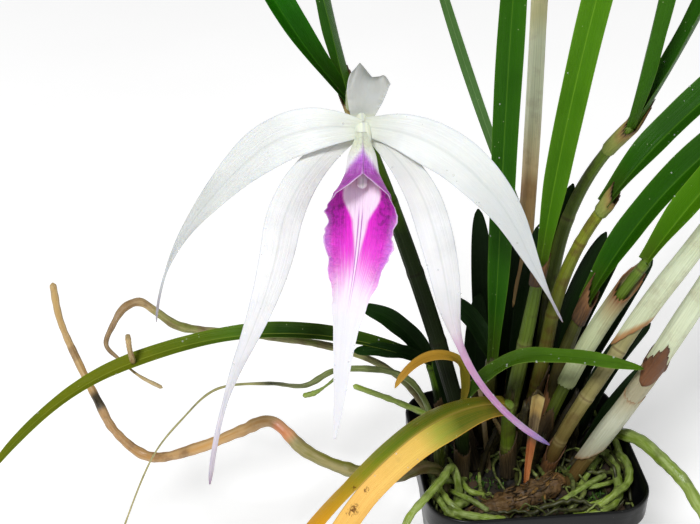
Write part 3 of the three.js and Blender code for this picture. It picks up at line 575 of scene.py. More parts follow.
def potMaterial(name):
    # thin moulded plastic: satin, faint flow marks, dusty and scratched towards the rim
    material, tree = newMaterial(name, specular=0.25)
    spot = objectPlace(tree)
    height = addNode(tree, "ShaderNodeSeparateXYZ", {"Vector": spot}).outputs["Z"]
    dust = blotches(tree, 55.0, 0.48, 0.72)
    flow = noise(stretched(spot, (1, 1, 8)), 60.0)
    worn = times(dust, fade(height, 0.05, 0.09))
    colour = blend(times(worn, 0.25), "#060708", "#24241f")
    colour = paint(colour, ("#6d6f6c", flecks(tree, 900.0, 0.05, 0.16), 0.4))
    return finishMaterial(material, colour, fade(dust, 0.0, 1.0, 0.34, 0.55),
                          (flow, 0.00015), (noise(spot, 2500.0), 0.00003))


def dropMaterial(name):
    # clear and glossy: mostly see-through, with a sharp highlight
    material, tree = newMaterial(name, specular=1.0)
    setShader(material, {"IOR": 1.4, "Alpha": 0.28})
    return finishMaterial(material, (0.9, 0.92, 0.92, 1), 0.02, (noise(objectPlace(tree), 300.0), 0.00001))


def place(mesh, material, slot, *nodes):
    piece = bpy.data.objects.new(mesh.name, mesh)
    bpy.context.scene.collection.objects.link(piece)
    mesh.materials.append(material)
    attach(piece, "root")
    if nodes:
        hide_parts(*nodes)
    return piece


# Camera, as the photograph was taken: a point on the rim's level seen at a known place and distance

view = {
    "turn": -6, "tilt": 30, "focal": 1500, "frameWidth": 700, "frameHeight": 524,
    "rimMiddle": (0, 0, 88), "seenAt": (523, 447), "distance": 620,
}


def placeCamera():
    turn, tilt = np.radians(view["turn"]), np.radians(view["tilt"])
    ahead = np.array([-np.sin(turn) * np.cos(tilt), np.cos(turn) * np.cos(tilt), -np.sin(tilt)])
    right = unit(np.cross(ahead, [0, 0, 1]))
    up = np.cross(right, ahead)
    off = (np.array(view["seenAt"]) - np.array([view["frameWidth"], view["frameHeight"]]) / 2) / view["focal"]
    eye = np.array(view["rimMiddle"]) - view["distance"] * (ahead + right * off[0] - up * off[1])
    camera = bpy.data.objects.new("camera", bpy.data.cameras.new("camera"))
    camera.data.sensor_width = 36
    camera.data.lens = view["focal"] / view["frameWidth"] * 36
    camera.data.clip_start = 0.01
    camera.location = eye * mm
    camera.rotation_euler = (np.pi / 2 - tilt, 0, turn)
    bpy.context.scene.collection.objects.link(camera)
    bpy.context.scene.camera = camera


placeCamera()
print("camera placed")


# Pot: thin moulded plastic with a thicker band at its rim and four drain holes

pot = {
    "height": 88, "rimHalf": 45, "rimCorner": 17, "band": 11, "baseHalf": 33, "baseCorner": 11,
    "wall": 1.3, "floor": 1.8, "drainRadius": 4, "drainOffset": 19,
}


def roundSquare(half, corner, height, cornerSteps=14):
    # quarter q and share k of each corner: (±(half - corner), ±(half - corner)) + corner * (cos, sin)
    quarter = np.repeat(np.arange(4), cornerSteps + 1)
    angle = (quarter + np.tile(np.linspace(0, 1, cornerSteps + 1), 4)) * np.pi / 2
    way = np.array([[1, 1], [-1, 1], [-1, -1], [1, -1]])[quarter] * (half - corner)
    return np.column_stack([way[:, 0] + np.cos(angle) * corner, way[:, 1] + np.sin(angle) * corner,
                            np.full(len(angle), float(height))])


def wallAt(height):
    # half width and corner of the outside below the band, at a height
    share = height / pot["height"]
    half = pot["baseHalf"] + (pot["rimHalf"] - 1.6 - pot["baseHalf"]) * share
    return half, pot["baseCorner"] + (pot["rimCorner"] - 1 - pot["baseCorner"]) * share


def buildPot():
    top, band, wall = pot["height"], pot["height"] - pot["band"], pot["wall"]
    base, rim, shelf = (pot["baseHalf"], pot["baseCorner"]), (pot["rimHalf"], pot["rimCorner"]), wallAt(band)

    def stepped(outline, level, *steps):
        # rings at small steps off a half width, a corner and a level
        return [roundSquare(outline[0] + wide, outline[1] + bend, level + lift) for wide, bend, lift in steps]

    foot = stepped(base, 0.0, (-1.2, -1.2, 0), (-0.35, -0.35, 0.35), (0, 0, 1.2))
    over = stepped(shelf, band, (0, 0, -0.2), (0.5, 0.3, 0))
    over += stepped(rim, band, (-0.45, 0, 0.5), (-0.35, 0, 1.2))
    over += stepped(
        rim, top, (-0.1, 0, -2.5), (0, 0, -1.2), (-0.1, 0, -0.35), (-0.45, -0.4, 0), (-0.95, -0.9, 0),
        (-wall, -wall, -0.5),
    )
    over += stepped(rim, band, (-wall - 0.1, -wall, 1)) + stepped(shelf, band, (-wall, -wall, -1))
    outside = [roundSquare(*wallAt(z), z) for z in np.linspace(4, band - 1.5, 14)]
    inside = []
    for z in np.linspace(band - 6, pot["floor"] + 1.2, 12):
        inside += stepped(wallAt(z), z, (-wall, -wall, 0))
    inside += stepped(base, pot["floor"], (-wall - 1.0, -2, 0))
    rings = np.array(foot + outside + over + inside)
    mesh = makeSkin("pot_wall", rings, shares(rings.shape[1] - 1))
    piece = place(mesh, potMaterial("black pot plastic"), "pot_plastic", "pot")
    cutters = drainCutters()
    cut = piece.modifiers.new("drain holes", "BOOLEAN")
    cut.object = cutters
    cut.solver = "EXACT"
    bpy.context.view_layer.update()
    finished = bpy.data.meshes.new_from_object(piece.evaluated_get(bpy.context.evaluated_depsgraph_get()))
    piece.modifiers.clear()
    piece.data = finished
    bpy.data.objects.remove(cutters)


def drainCutters():
    # four upright round bars: (±offset, ±offset) + radius * (cos, sin), through the floor
    angle = np.linspace(0, 2 * np.pi, 32, endpoint=False)
    ring = np.column_stack([np.cos(angle), np.sin(angle), np.zeros(32)]) * pot["drainRadius"]
    bar = np.stack([ring + [0, 0, -3], ring + [0, 0, pot["floor"] + 3]])
    corners = np.array([[1, 1, 0], [-1, 1, 0], [-1, -1, 0], [1, -1, 0]]) * float(pot["drainOffset"])
    bars = bpy.data.objects.new("drain bars", makeCrowd("drain bars", bar + corners[:, None, None]))
    bpy.context.scene.collection.objects.link(bars)
    return bars


buildPot()
print("pot built")


# Potting medium: a relief of bark with loose chips, moss and fine roots on it

medium = {"top": 78, "gap": 0.3, "relief": 2.6, "seed": 41}
chips = {
    "count": 210, "reach": 38, "size": (3.0, 7.5), "flat": ([0.6, 0.4, 0.22], [1.1, 0.9, 0.5]), "lean": 0.35,
    "power": 0.55,
}
moss = {"count": 700, "tufts": 34, "reach": 37, "spread": 2.2, "size": (1.4, 4.0), "lean": 0.6}
tangle = {
    "count": 120, "reach": 37, "wall": 40, "press": 1.15, "length": (12, 34), "turn": 2.6, "lift": (0.2, 1.6),
    "arch": 8, "radius": (0.4, 1.2), "steps": 26,
}
stubs = {
    "count": 22, "acrossPot": (-24, 24), "backInPot": (-6, 38), "foot": 75.0, "length": (12, 42), "bend": 1.6,
    "radius": (1.1, 2.6), "steps": 24, "sides": 14,
}


def mediumHeight(x, y):
    # the medium's surface: its level, lumps as wide as a chip, and finer crumbs
    spot = np.stack([x, y], axis=-1)
    level = medium["top"] - medium["relief"]
    return level + 0.66 * waviness(spot, 3, 16) + 0.5 * waviness(spot, 4, 5) + 0.25 * waviness(spot, 5, 2)


def buildMedium():
    inset = pot["wall"] + medium["gap"] * 2
    band = pot["height"] - pot["band"]
    rings = []
    for z in np.linspace(pot["floor"] + medium["gap"], band - 3, 10):
        half, corner = wallAt(z)
        rings.append(roundSquare(half - inset, corner - inset, z, 24))
    half, corner = wallAt(band - 3)
    for share in np.linspace(0.99, 0.02, 60):
        ring = roundSquare(half - inset, corner - inset, 0, 24) * [share, share, 1]
        ring[:, 2] = mediumHeight(ring[:, 0], ring[:, 1])
        rings.append(ring)
    mesh = makeSkin("medium_bed", np.array(rings), shares(len(rings[0]) - 1), tone=np.zeros(1))
    # the near-black tints are the bark's own dark colour, darkened further as painted shade inside the pot
    bark = barkMaterial("damp bark bed and painted shade", "#080603", "#1a1409", 260.0)
    place(mesh, bark, "bark", "potting_medium")


def ballShape(rows, columns):
    # a ball: (sin a cos b, sin a sin b, cos a), from just off one pole to just off the other
    a = np.linspace(np.pi - 0.25, 0.25, rows)[:, None]
    b = np.linspace(0, 2 * np.pi, columns, endpoint=False)[None, :]
    return np.stack([np.sin(a) * np.cos(b), np.sin(a) * np.sin(b), np.cos(a) * np.ones_like(b)], axis=-1)


def squareBall(rows, columns, power):
    # a ball pushed out towards a block: each part of its place raised to a power below 1
    ball = ballShape(rows, columns)
    return np.sign(ball) * np.abs(ball) ** power


def spotsInPot(random, count, reach):
    # seeded places in the pot, inside a rounded square of half width reach
    spots = random.uniform(-reach, reach, (count * 2, 2))
    keep = (np.abs(spots / reach) ** 4).sum(1) < 1
    return spots[keep][:count]


def scatter(random, spots, lean, lift):
    # centres on the medium raised by lift, and turns that lean off upright and spin at random
    lean = unit(np.column_stack([random.normal(0, lean, (len(spots), 2)), np.ones(len(spots))]))
    turns = standOn(lean, random.uniform(0, 6.28, len(spots)))
    return np.column_stack([spots, mediumHeight(spots[:, 0], spots[:, 1]) + lift]), turns


def buildChips():
    random = np.random.default_rng(medium["seed"])
    spots = spotsInPot(random, chips["count"], chips["reach"])
    count = len(spots)
    shape = squareBall(7, 10, chips["power"])
    ways = unit(random.normal(size=(count, 1, 1, 3))) * 2.6
    wobble = 1 + 0.16 * np.sin((shape * ways).sum(-1, keepdims=True) + random.uniform(0, 6, (count, 1, 1, 1)))
    size = random.uniform(*chips["size"], (count, 1)) / 2 * random.uniform(*chips["flat"], (count, 3))
    centres, turns = scatter(random, spots, chips["lean"], size[:, 2] * random.uniform(0, 0.9, count))
    tone = random.uniform(0, 1, count) ** 3
    mesh = makeCrowd("bark_chips", shape * wobble, centres, turns, size, tone=tone)
    # near-black chip tints: dark bark, darkened further as painted shade inside the pot
    place(mesh, barkMaterial("bark chips", "#0e0905", "#2e2010", 420.0), "bark")


def sliverShape(width):
    # a small curved sliver along z = s, 0.4 s² to one side, width * sqrt(1.02 - s²)
    s = np.linspace(0, 1, 6)[:, None]
    angle = np.linspace(0, 2 * np.pi, 6, endpoint=False)[None, :]
    wide = width * np.sqrt(1.02 - s**2)
    x, y = np.cos(angle) * wide * 1.4, np.sin(angle) * wide * 0.4 + 0.4 * s**2
    return np.stack([x, y, s + 0 * angle], axis=-1)


def buildMoss():
    random = np.random.default_rng(medium["seed"] + 1)
    tufts = spotsInPot(random, moss["tufts"], moss["reach"])
    count = moss["count"]
    spots = tufts[random.integers(0, len(tufts), count)] + random.normal(0, moss["spread"], (count, 2))
    size = random.uniform(*moss["size"], (count, 1))
    centres, turns = scatter(random, spots, moss["lean"], -0.3)
    mesh = makeCrowd("moss_tufts", sliverShape(0.13), centres, turns, size, tone=random.uniform(0, 1, count))
    place(mesh, strandMaterial("moss", "#16300a", "#4f7a1c"), "green_root")


def tubeCrowd(lines, radius, sides, **grooves):
    ways = [unit(np.gradient(line, axis=0)) for line in lines]
    return np.stack([tubeRings(*each, sides, **grooves) for each in zip(lines, ways, radius)])


def buildTangle():
    # fine old roots: level runs with a heading that turns evenly, pressed in at the wall by a tanh,
    # and lifted by arch sin(pi t)
    random = np.random.default_rng(medium["seed"] + 2)
    spots = spotsInPot(random, tangle["count"], tangle["reach"])
    count = len(spots)
    t = shares(tangle["steps"] - 1)
    wall, press, turn = tangle["wall"], tangle["press"], tangle["turn"]
    heading = random.uniform(0, 6.28, (count, 1)) + random.uniform(-turn, turn, (count, 1)) * t
    step = random.uniform(*tangle["length"], (count, 1, 1)) / len(t)
    flat = spots[:, None] + np.cumsum(np.stack([np.cos(heading), np.sin(heading)], axis=-1) * step, axis=1)
    flat = np.clip(wall * np.tanh(flat / wall * press) / np.tanh(press), -wall, wall)
    height = mediumHeight(flat[..., 0], flat[..., 1]) + random.uniform(*tangle["lift"], (count, 1))
    height = height + random.uniform(0, tangle["arch"], (count, 1)) * np.sin(np.pi * t)
    points = np.concatenate([flat, height[..., None]], axis=-1)
    radius = random.uniform(*tangle["radius"], (count, 1)) * (1 - 0.35 * t)
    shape = tubeCrowd(points, radius, 8)
    mesh = makeCrowd("root_tangle", shape, tone=random.uniform(0, 1, count) ** 1.5)
    place(mesh, strandMaterial("old roots", "#2c2c0e", "#84924a"), "green_root")


def buildStubs():
    # short dead stems between the live ones: foot + lean * length t + bend t², with a broken end
    random = np.random.default_rng(medium["seed"] + 3)
    count, sides = stubs["count"], stubs["sides"]
    x, y = random.uniform(*stubs["acrossPot"], count), random.uniform(*stubs["backInPot"], count)
    feet = np.column_stack([x, y, np.full(count, stubs["foot"])])
    right, back = random.normal(0.2, 0.22, count), random.normal(-0.05, 0.15, count)
    lean = unit(np.column_stack([right, back, np.ones(count)]))
    t = shares(stubs["steps"] - 1)
    length = random.uniform(*stubs["length"], (count, 1, 1))
    bend = random.normal(0, stubs["bend"], (count, 1, 2)) * (t**2)[None, :, None]
    points = feet[:, None] + lean[:, None] * t[None, :, None] * length
    points[..., :2] += bend
    radius = random.uniform(*stubs["radius"], (count, 1)) * (1 + 0.12 * np.sin(t * 19)) * (1 - 0.35 * t**6)
    shape = tubeCrowd(points, radius, sides, grooves=0.14, grooveCount=5)
    a = np.linspace(0, 2 * np.pi, sides, endpoint=False)
    broken = np.array([0, 0.4, 1.2, 2.6])[:, None]
    shape[:, -len(broken):, :, 2] += broken * (np.sin(3 * a) + 0.6 * np.sin(5 * a + 1))
    mesh = makeCrowd("old_stubs", shape, tone=random.uniform(0, 1, count))
    place(mesh, strandMaterial("dead stems", "#120c06", "#4a4420"), "stem")


buildMedium()
buildChips()
buildMoss()
print("medium built")


# Round stems, roots and sheaths

def tubeRings(points, tangents, radius, sides, grooves=0.0, grooveCount=9):
    # path + radius * (side cos a + front sin a), with shallow grooves of depth grooves * radius
    side, front = carriedFrames(tangents)
    a = np.linspace(0, 2 * np.pi, sides, endpoint=False)[None, :, None]
    reach = radius[:, None, None] * (1 - grooves * (0.5 + 0.5 * np.cos(grooveCount * a)))
    return points[:, None, :] + reach * (side[:, None, :] * np.cos(a) + front[:, None, :] * np.sin(a))


def roundEnds(t, length, radius):
    # the radius drawn in over the last radius of length at both ends: sqrt(1 - (1 - distance / radius)²)
    near = np.minimum(t, 1 - t) * length / radius
    return radius * np.sqrt(np.clip(1 - (1 - np.clip(near, 0, 1)) ** 2, 0.04, 1))


caneFoot = 72

canes = {
    "pseudobulb_flowering": {
        "foot": (-19, 4, caneFoot), "heading": (147, 163, 171), "rise": (75, 72, 69), "length": 176,
        "radius": 3.3, "joints": 5.4, "look": "shaded",
    },
    "pseudobulb_02": {
        "foot": (-12, 20, caneFoot), "heading": (254, 272), "rise": (80, 76), "length": 57, "radius": 2.8,
        "joints": 2.2, "look": "brown",
    },
    "pseudobulb_03": {
        "foot": (-1, 30, caneFoot), "heading": (56, 93), "rise": (79, 86), "length": 207, "radius": 2.2,
        "joints": 5.1, "look": "tan",
    },
    "pseudobulb_04": {
        "foot": (-8, 11, caneFoot), "heading": (36, 32), "rise": (76, 81), "length": 93, "radius": 3,
        "joints": 3.3, "look": "olive",
    },
    "pseudobulb_05": {
        "foot": (11, 29, caneFoot), "heading": (74, 40, -16), "rise": (79, 83, 49), "length": 149,
        "radius": 2.8, "joints": 4.4, "look": "olive",
    },
    "pseudobulb_06": {
        "foot": (1, 15, caneFoot), "heading": (36, 14, -14), "rise": (71, 84, 59), "length": 123,
        "radius": 2.8, "joints": 3.6, "look": "yellow",
    },
    "pseudobulb_07": {
        "foot": (12, 15, caneFoot), "heading": (19, -16), "rise": (88, 71), "length": 79, "radius": 3,
        "joints": 3.1, "look": "brown",
    },
    "pseudobulb_08": {
        "foot": (5, 6, caneFoot), "heading": (5, -10), "rise": (77, 59), "length": 109, "radius": 2.5,
        "joints": 4.2, "look": "olive",
    },
    "pseudobulb_09": {
        "foot": (9, -3, caneFoot), "heading": (-45, 21, -31), "rise": (80, 55, 65), "length": 148,
        "radius": 2.9, "joints": 6.2, "look": "tan",
    },
    "pseudobulb_10": {
        "foot": (14, -13, caneFoot), "heading": (11, -48, -24), "rise": (61, 68, 70), "length": 147,
        "radius": 2.9, "joints": 6.4, "look": "tan",
    },
    "pseudobulb_11": {
        "foot": (-6, -2, caneFoot), "heading": (247, 247), "rise": (78, 75), "length": 50, "radius": 3,
        "joints": 2.1, "look": "olive",
    },
    "pseudobulb_12": {
        "foot": (-26, -5, caneFoot), "heading": (240, 236), "rise": (86, 84), "length": 47, "radius": 2.8,
        "joints": 2.1, "look": "shaded",
    },
    "pseudobulb_13": {
        "foot": (-27, 33, caneFoot), "heading": (247, 223), "rise": (77, 65), "length": 50, "radius": 2.8,
        "joints": 2.1, "look": "shaded",
    },
}

stemLooks = {
    "olive": {
        "along": [(0.0, "#2f2c10"), (0.25, "#414a14"), (0.6, "#526416"), (1.0, "#5a761a")], "rib": "#2c3a0c",
        "patch": "#33260e", "patchShare": 0.6, "band": "#8a8f4c", "ring": "#3a2a12", "seed": 1.0,
    },
    "yellow": {
        "along": [(0.0, "#38300f"), (0.4, "#545414"), (0.75, "#6a7418"), (1.0, "#828c1c")], "rib": "#3c3c10",
        "patch": "#4f3010", "patchShare": 0.65, "band": "#86822e", "ring": "#4f3010", "seed": 2.0,
    },
    "tan": {
        "along": [(0.0, "#33220e"), (0.1, "#5a4420"), (0.3, "#7d7440"), (0.55, "#948f62"), (1.0, "#8f8c50")],
        "rib": "#5b5528", "patch": "#4f3418", "band": "#b3aa78", "ring": "#4f3418", "seed": 3.0,
    },
    "brown": {
        "along": [(0.0, "#241a0a"), (0.6, "#3f3a12"), (1.0, "#4c5616")], "rib": "#22200a", "patch": "#1f1407",
        "band": "#66592c", "ring": "#26180a", "patchShare": 0.6, "seed": 4.0,
    },
    # shaded: painted shade, near-black along most of the stem, with the stem's own green only near its top
    "shaded": {
        "along": [(0.0, "#10140a"), (0.4, "#141d09"), (0.66, "#1c2b0a"), (0.74, "#43600f"), (1.0, "#4f6e14")],
        "rib": "#121a07", "patch": "#10140a", "band": "#232c12", "ring": "#141208", "seed": 5.0,
        "specular": 0.08,
    },
}


def caneRadius(t, radius):
    # radius * (0.86 + 0.2 sin(pi (1.1 t + 0.05)))
    return radius * (0.86 + 0.2 * np.sin(np.pi * np.clip(t * 1.1 + 0.05, 0, 1)))


def buildCanes():
    # a stem swells by 5 % over each joint and draws in by 3 % just above it
    materials = {key: stemMaterial(f"{key} stem", look) for key, look in stemLooks.items()}
    for name, cane in canes.items():
        rows = int(cane["length"] * 1.1)
        points, tangents = growthPath(cane, rows)
        t = shares(rows)
        joints = t * cane["joints"]
        offJoint = (joints - np.round(joints)) * cane["length"] / cane["joints"]
        ring = np.where((joints > 0.5) & (joints < cane["joints"] - 0.3), 1.0, 0.0)
        swell = 0.05 * np.exp(-(offJoint / 1.8) ** 2) - 0.03 * np.exp(-((offJoint - 2.6) / 1.2) ** 2)
        radius = roundEnds(t, cane["length"], caneRadius(t, cane["radius"])) * (1 + swell * ring)
        rings = tubeRings(points, tangents, radius, 32, grooves=0.05)
        place(makeSkin(f"{name}_stem", rings, joints=joints[:, None]), materials[cane["look"]], "stem", name)


buildCanes()
buildTangle()
buildStubs()
print("stems built")


# Papery sheaths: tubes on part of a stem. The tip is cut back by torn of the stem at cutAt degrees round it,
# and the foot is raised by slant opposite lowAt.

sheaths = {
    "sheath_03": {
        "on": "pseudobulb_03", "span": (0.3, 0.99), "radius": (3.2, 3.3, 3.2), "torn": 0.03, "cutAt": 0,
        "look": "grey",
    },
    "sheath_08": {
        "on": "pseudobulb_08", "span": (0.4, 0.99), "radius": (3.7, 3.9, 3.8), "torn": 0.17, "cutAt": 150,
        "slant": 0.03, "lowAt": 150, "look": "green",
    },
    "sheath_09": {
        "on": "pseudobulb_09", "span": (0.49, 0.97), "radius": (4.1, 4.2, 3.9), "torn": 0.06, "cutAt": 147,
        "slant": 0.11, "lowAt": 70, "look": "white",
    },
    "sheath_10_low": {
        "on": "pseudobulb_10", "span": (0.12, 0.44), "radius": (4, 4.2, 3.9), "torn": 0.05, "cutAt": 318,
        "slant": 0.08, "lowAt": 240, "look": "pale",
    },
    "sheath_10_high": {
        "on": "pseudobulb_10", "span": (0.5, 0.97), "radius": (4.1, 4.2, 3.9), "torn": 0.08, "cutAt": 318,
        "look": "white",
    },
}

# Old remains: short dark tubes round the feet of the stems, and a brown scale over the foot of a sheath
remains = {
    "scale_10": {
        "on": "pseudobulb_10", "span": (0.46, 0.625), "radius": (4.3, 4.5, 4.5), "torn": 0.17, "cutAt": 150,
        "sharp": 0.5, "slant": 0.14, "lowAt": 330, "look": "scale",
    },
    "collar_10": {
        "on": "pseudobulb_10", "span": (0.33, 0.52), "radius": (3.7, 3.9, 4.1, 3.9), "torn": 0.01,
        "cutAt": 318, "look": "middle",
    },
    "old_sheath_1": {
        "on": "pseudobulb_flowering", "span": (0.02, 0.2), "torn": 0.07, "cutAt": 40, "look": "old",
    },
    "old_sheath_3": {"on": "pseudobulb_03", "span": (0.02, 0.24), "torn": 0.08, "cutAt": 90, "look": "old"},
    "old_sheath_4": {"on": "pseudobulb_04", "span": (0.05, 0.36), "torn": 0.14, "cutAt": 200, "look": "old"},
    "old_sheath_5": {"on": "pseudobulb_05", "span": (0.03, 0.3), "torn": 0.12, "cutAt": 120, "look": "rust"},
    "old_sheath_6": {"on": "pseudobulb_06", "span": (0.04, 0.36), "torn": 0.16, "cutAt": 60, "look": "old"},
    "old_sheath_7": {"on": "pseudobulb_07", "span": (0.06, 0.5), "torn": 0.2, "cutAt": 250, "look": "rust"},
    "old_sheath_8": {"on": "pseudobulb_08", "span": (0.04, 0.3), "torn": 0.14, "cutAt": 330, "look": "old"},
    "old_sheath_9": {"on": "pseudobulb_09", "span": (0.03, 0.19), "torn": 0.1, "cutAt": 150, "look": "rust"},
    "old_sheath_11": {"on": "pseudobulb_11", "span": (0.1, 0.62), "torn": 0.25, "cutAt": 80, "look": "old"},
    "old_sheath_12": {"on": "pseudobulb_12", "span": (0.1, 0.7), "torn": 0.25, "cutAt": 200, "look": "old"},
    "old_sheath_13": {"on": "pseudobulb_13", "span": (0.1, 0.6), "torn": 0.25, "cutAt": 10, "look": "old"},
}

paperLooks = {
    "grey": [
        (0.0, "#a88450"), (0.3, "#b08c54"), (0.38, "#a07844"), (0.43, "#cdb484"), (0.52, "#d0c89e"),
        (0.6, "#d8ddbc"), (0.8, "#dce2c0"), (0.88, "#ccc894"), (1.0, "#d2ce9c"),
    ],
    "green": [(0.0, "#9aa56e"), (0.2, "#b0ba8c"), (0.7, "#b6be96"), (0.88, "#9f8f64"), (1.0, "#6f4420")],
    "white": [(0.0, "#8f5a28"), (0.045, "#a87c48"), (0.1, "#c6cdaa"), (0.6, "#d0d9ba"), (1.0, "#c4ceac")],
    "pale": [(0.0, "#8f6a44"), (0.06, "#a09a84"), (0.3, "#abae98"), (0.65, "#bec0aa"), (1.0, "#a89e80")],
    "middle": [(0.0, "#a39d84"), (1.0, "#9a9072")],
    "scale": [(0.0, "#5a3414"), (0.12, "#5f3816"), (0.6, "#54300f"), (1.0, "#4a2a12")],
    "old": [(0.0, "#0c0904"), (0.5, "#20180b"), (0.85, "#3a2c14"), (1.0, "#5b4420")],
    "rust": [(0.0, "#140c06"), (0.5, "#3a2410"), (0.85, "#5f3c1c"), (1.0, "#7d5530")],
}

paperWall = 0.45
looseBy = 0.35


def sheathRings(path, sheath, rows, sides):
    # outer wall up and inner wall down: path(t) + r (side cos a + front sin a). The foot is
    # span[0] + slant (0.5 - 0.5 cos(a - lowAt)), and the tip, frayed,
    # span[1] - torn (0.5 + 0.5 cos(a - cutAt))^sharp
    points, tangents = path
    side, front = carriedFrames(tangents)
    a = np.linspace(0, 2 * np.pi, sides, endpoint=False)
    low, high = sheath["span"]
    raised = sheath.get("slant", 0) * (0.5 - 0.5 * np.cos(a - np.radians(sheath.get("lowAt", 0))))
    foot = low + raised + 0.008 * (high - low) * (np.sin(3 * a) + 0.6 * np.sin(13 * a))
    fray = (0.5 * np.sin(17 * a) + 0.4 * np.sin(29 * a + 1)) * 0.09 * sheath["torn"]
    cut = (0.5 + 0.5 * np.cos(a - np.radians(sheath["cutAt"]))) ** sheath.get("sharp", 1.0)
    tip = np.maximum(high - sheath["torn"] * cut + fray, foot + 0.004)
    share = np.linspace(0, 1, rows)[:, None]
    t = foot + (tip - foot) * share
    crease = 0.1 * np.sin(5 * a + 4 * share) + 0.06 * np.sin(11 * a - 9 * share) + 0.2 * share**14
    reach = spread(sheath["radius"], share) + crease
    middle, side, front = (readAt(t, shares(len(points) - 1), values) for values in (points, side, front))
    out = side * np.cos(a)[None, :, None] + front * np.sin(a)[None, :, None]
    inside = middle + out * (reach - paperWall)[:, :, None]
    rings = np.concatenate([middle + out * reach[:, :, None], inside[::-1]])
    along = np.concatenate([share, share[::-1]])
    return rings, along, smooth(along, 0.95, 1.0)


def placeSheath(name, path, length, sheath, material, *nodes):
    rows = max(14, int(length * (sheath["span"][1] - sheath["span"][0]) / 1.2))
    rings, along, torn = sheathRings(path, sheath, rows, 48)
    place(makeSkin(name, rings, along=along, ends="loop", torn=torn), material, "papery_sheath", *nodes)


sheathTones = {"scale": ("#8a5a38", "#3c2010"), "old": ("#6f5a34", "#150e06"), "rust": ("#a87a48", "#2c1a0c")}
papers = {
    key: paperMaterial(f"{key} sheath", stops, *sheathTones.get(key, ("#85886a", "#7a5028")))
    for key, stops in paperLooks.items()
}


def buildSheaths():
    for name, sheath in {**sheaths, **remains}.items():
        cane = canes[sheath["on"]]
        loose = cane["radius"] + looseBy
        shape = {"radius": (loose, loose + 0.1, loose + 0.15), "sharp": 0.6, **sheath}
        nodes = [name] if name in sheaths else []
        path = growthPath(cane, 120)
        placeSheath(f"{name}_paper", path, cane["length"], shape, papers[sheath["look"]], *nodes)


buildSheaths()
print("sheaths built")


# Leaves: folded straps that clasp the tips of their stems

leafLooks = {
    "bright": {
        "along": [(0.0, "#485a12"), (0.1, "#3e6b05"), (0.5, "#477a05"), (1.0, "#538508")], "patch": "#346604",
        "vein": "#2f6203", "middle": "#6f9a22", "edge": "#84ac32", "under": "#649024", "seed": 1.0,
    },
    "deep": {
        "along": [(0.0, "#38470c"), (0.12, "#215003"), (0.6, "#275903"), (1.0, "#316404")],
        "patch": "#153c02", "vein": "#184202", "middle": "#4f7c1a", "edge": "#648c28", "under": "#3f7012",
        "seed": 2.0,
    },
    "dark": {
        "along": [(0.0, "#222d08"), (0.3, "#1c6603"), (1.0, "#2a7a04")], "patch": "#124402",
        "vein": "#114002", "middle": "#3c7c14", "edge": "#548a1c", "under": "#267006", "seed": 3.0,
    },
    # shade: near-black greens, painted shade for the blades that fill the gaps between the stems
    "shade": {
        "along": [(0.0, "#0b0f05"), (0.4, "#0b1a05"), (1.0, "#102806")], "patch": "#060d03",
        "vein": "#060e02", "middle": "#14280a", "edge": "#1c3410", "under": "#0c1a06", "seed": 8.0,
        "dust": 0.05,
    },
    # dim: dark greens painted as shade for the small leaves deep in the clump
    "dim": {
        "along": [(0.0, "#151d06"), (0.3, "#0d2604"), (1.0, "#143405")], "patch": "#0a1c03",
        "vein": "#0a1a02", "middle": "#1f3c0e", "edge": "#2c4a14", "under": "#163008", "seed": 3.0,
        "dust": 0.1,
    },
    "pale": {
        "along": [(0.0, "#4f6a34"), (0.5, "#557a42"), (1.0, "#4e7437")], "patch": "#426a30",
        "vein": "#3a5f2a", "middle": "#86a06c", "edge": "#7f9c62", "under": "#5f7f48", "seed": 9.0,
    },
    # arching: the near-black stretch from 0.22 to 0.33 along it is painted shade
    "arching": {
        "along": [
            (0.0, "#26420a"), (0.22, "#163004"), (0.33, "#183604"), (0.42, "#4f7218"), (0.6, "#707812"),
            (0.85, "#6e7610"), (1.0, "#7a7e16"),
        ],
        "patch": "#3a5a0a", "vein": "#35500a", "middle": "#8f9c3c", "edge": "#8f9a3c", "under": "#5f7818",
        "seed": 7.0,
    },
    "small": {
        "along": [(0.0, "#1d2e05"), (0.3, "#36520b"), (0.6, "#446a0e"), (1.0, "#4c7410")],
        "patch": "#2c4a08", "vein": "#2f4e08", "middle": "#2c4c0a", "edge": "#a0b858", "under": "#557a1c",
        "seed": 4.0, "gloss": 0.24,
    },
    "yellow": {
        "right": [
            (0.0, "#2c4a0a"), (0.24, "#2f5a0c"), (0.36, "#4f7414"), (0.46, "#7a8a18"), (0.54, "#b8961c"),
            (0.62, "#d99c1c"), (1.0, "#c9801c"),
        ],
        "along": [
            (0.0, "#2c4a0a"), (0.17, "#35560e"), (0.24, "#8f9a3a"), (0.3, "#d9b85a"), (0.5, "#f6c66e"),
            (0.8, "#f4be5c"), (1.0, "#e8a040"),
        ],
        "patch": "#d08a30", "patchShare": 0.14, "vein": "#c08a30", "middle": "#a08a48", "middleShare": 0.35,
        "edge": "#e8a848", "under": "#c99e48", "spots": "#54280e", "seed": 5.0, "spread": (18, 150),
        "blots": ((6, 73, 1.4), (5, 81.5, 2), (5.6, 84, 1.4), (10.6, 75, 1.2), (3.4, 97, 1.1)),
    },
    "tan": {
        "along": [(0.0, "#4a5210"), (0.35, "#6a6414"), (0.55, "#a07c24"), (0.9, "#b98a34"), (1.0, "#c9a044")],
        "patch": "#8f6a1c", "vein": "#7d5c18", "middle": "#6a501a", "edge": "#c9ac60", "under": "#a07c38",
        "spots": "#4f3014", "seed": 6.0,
    },
}

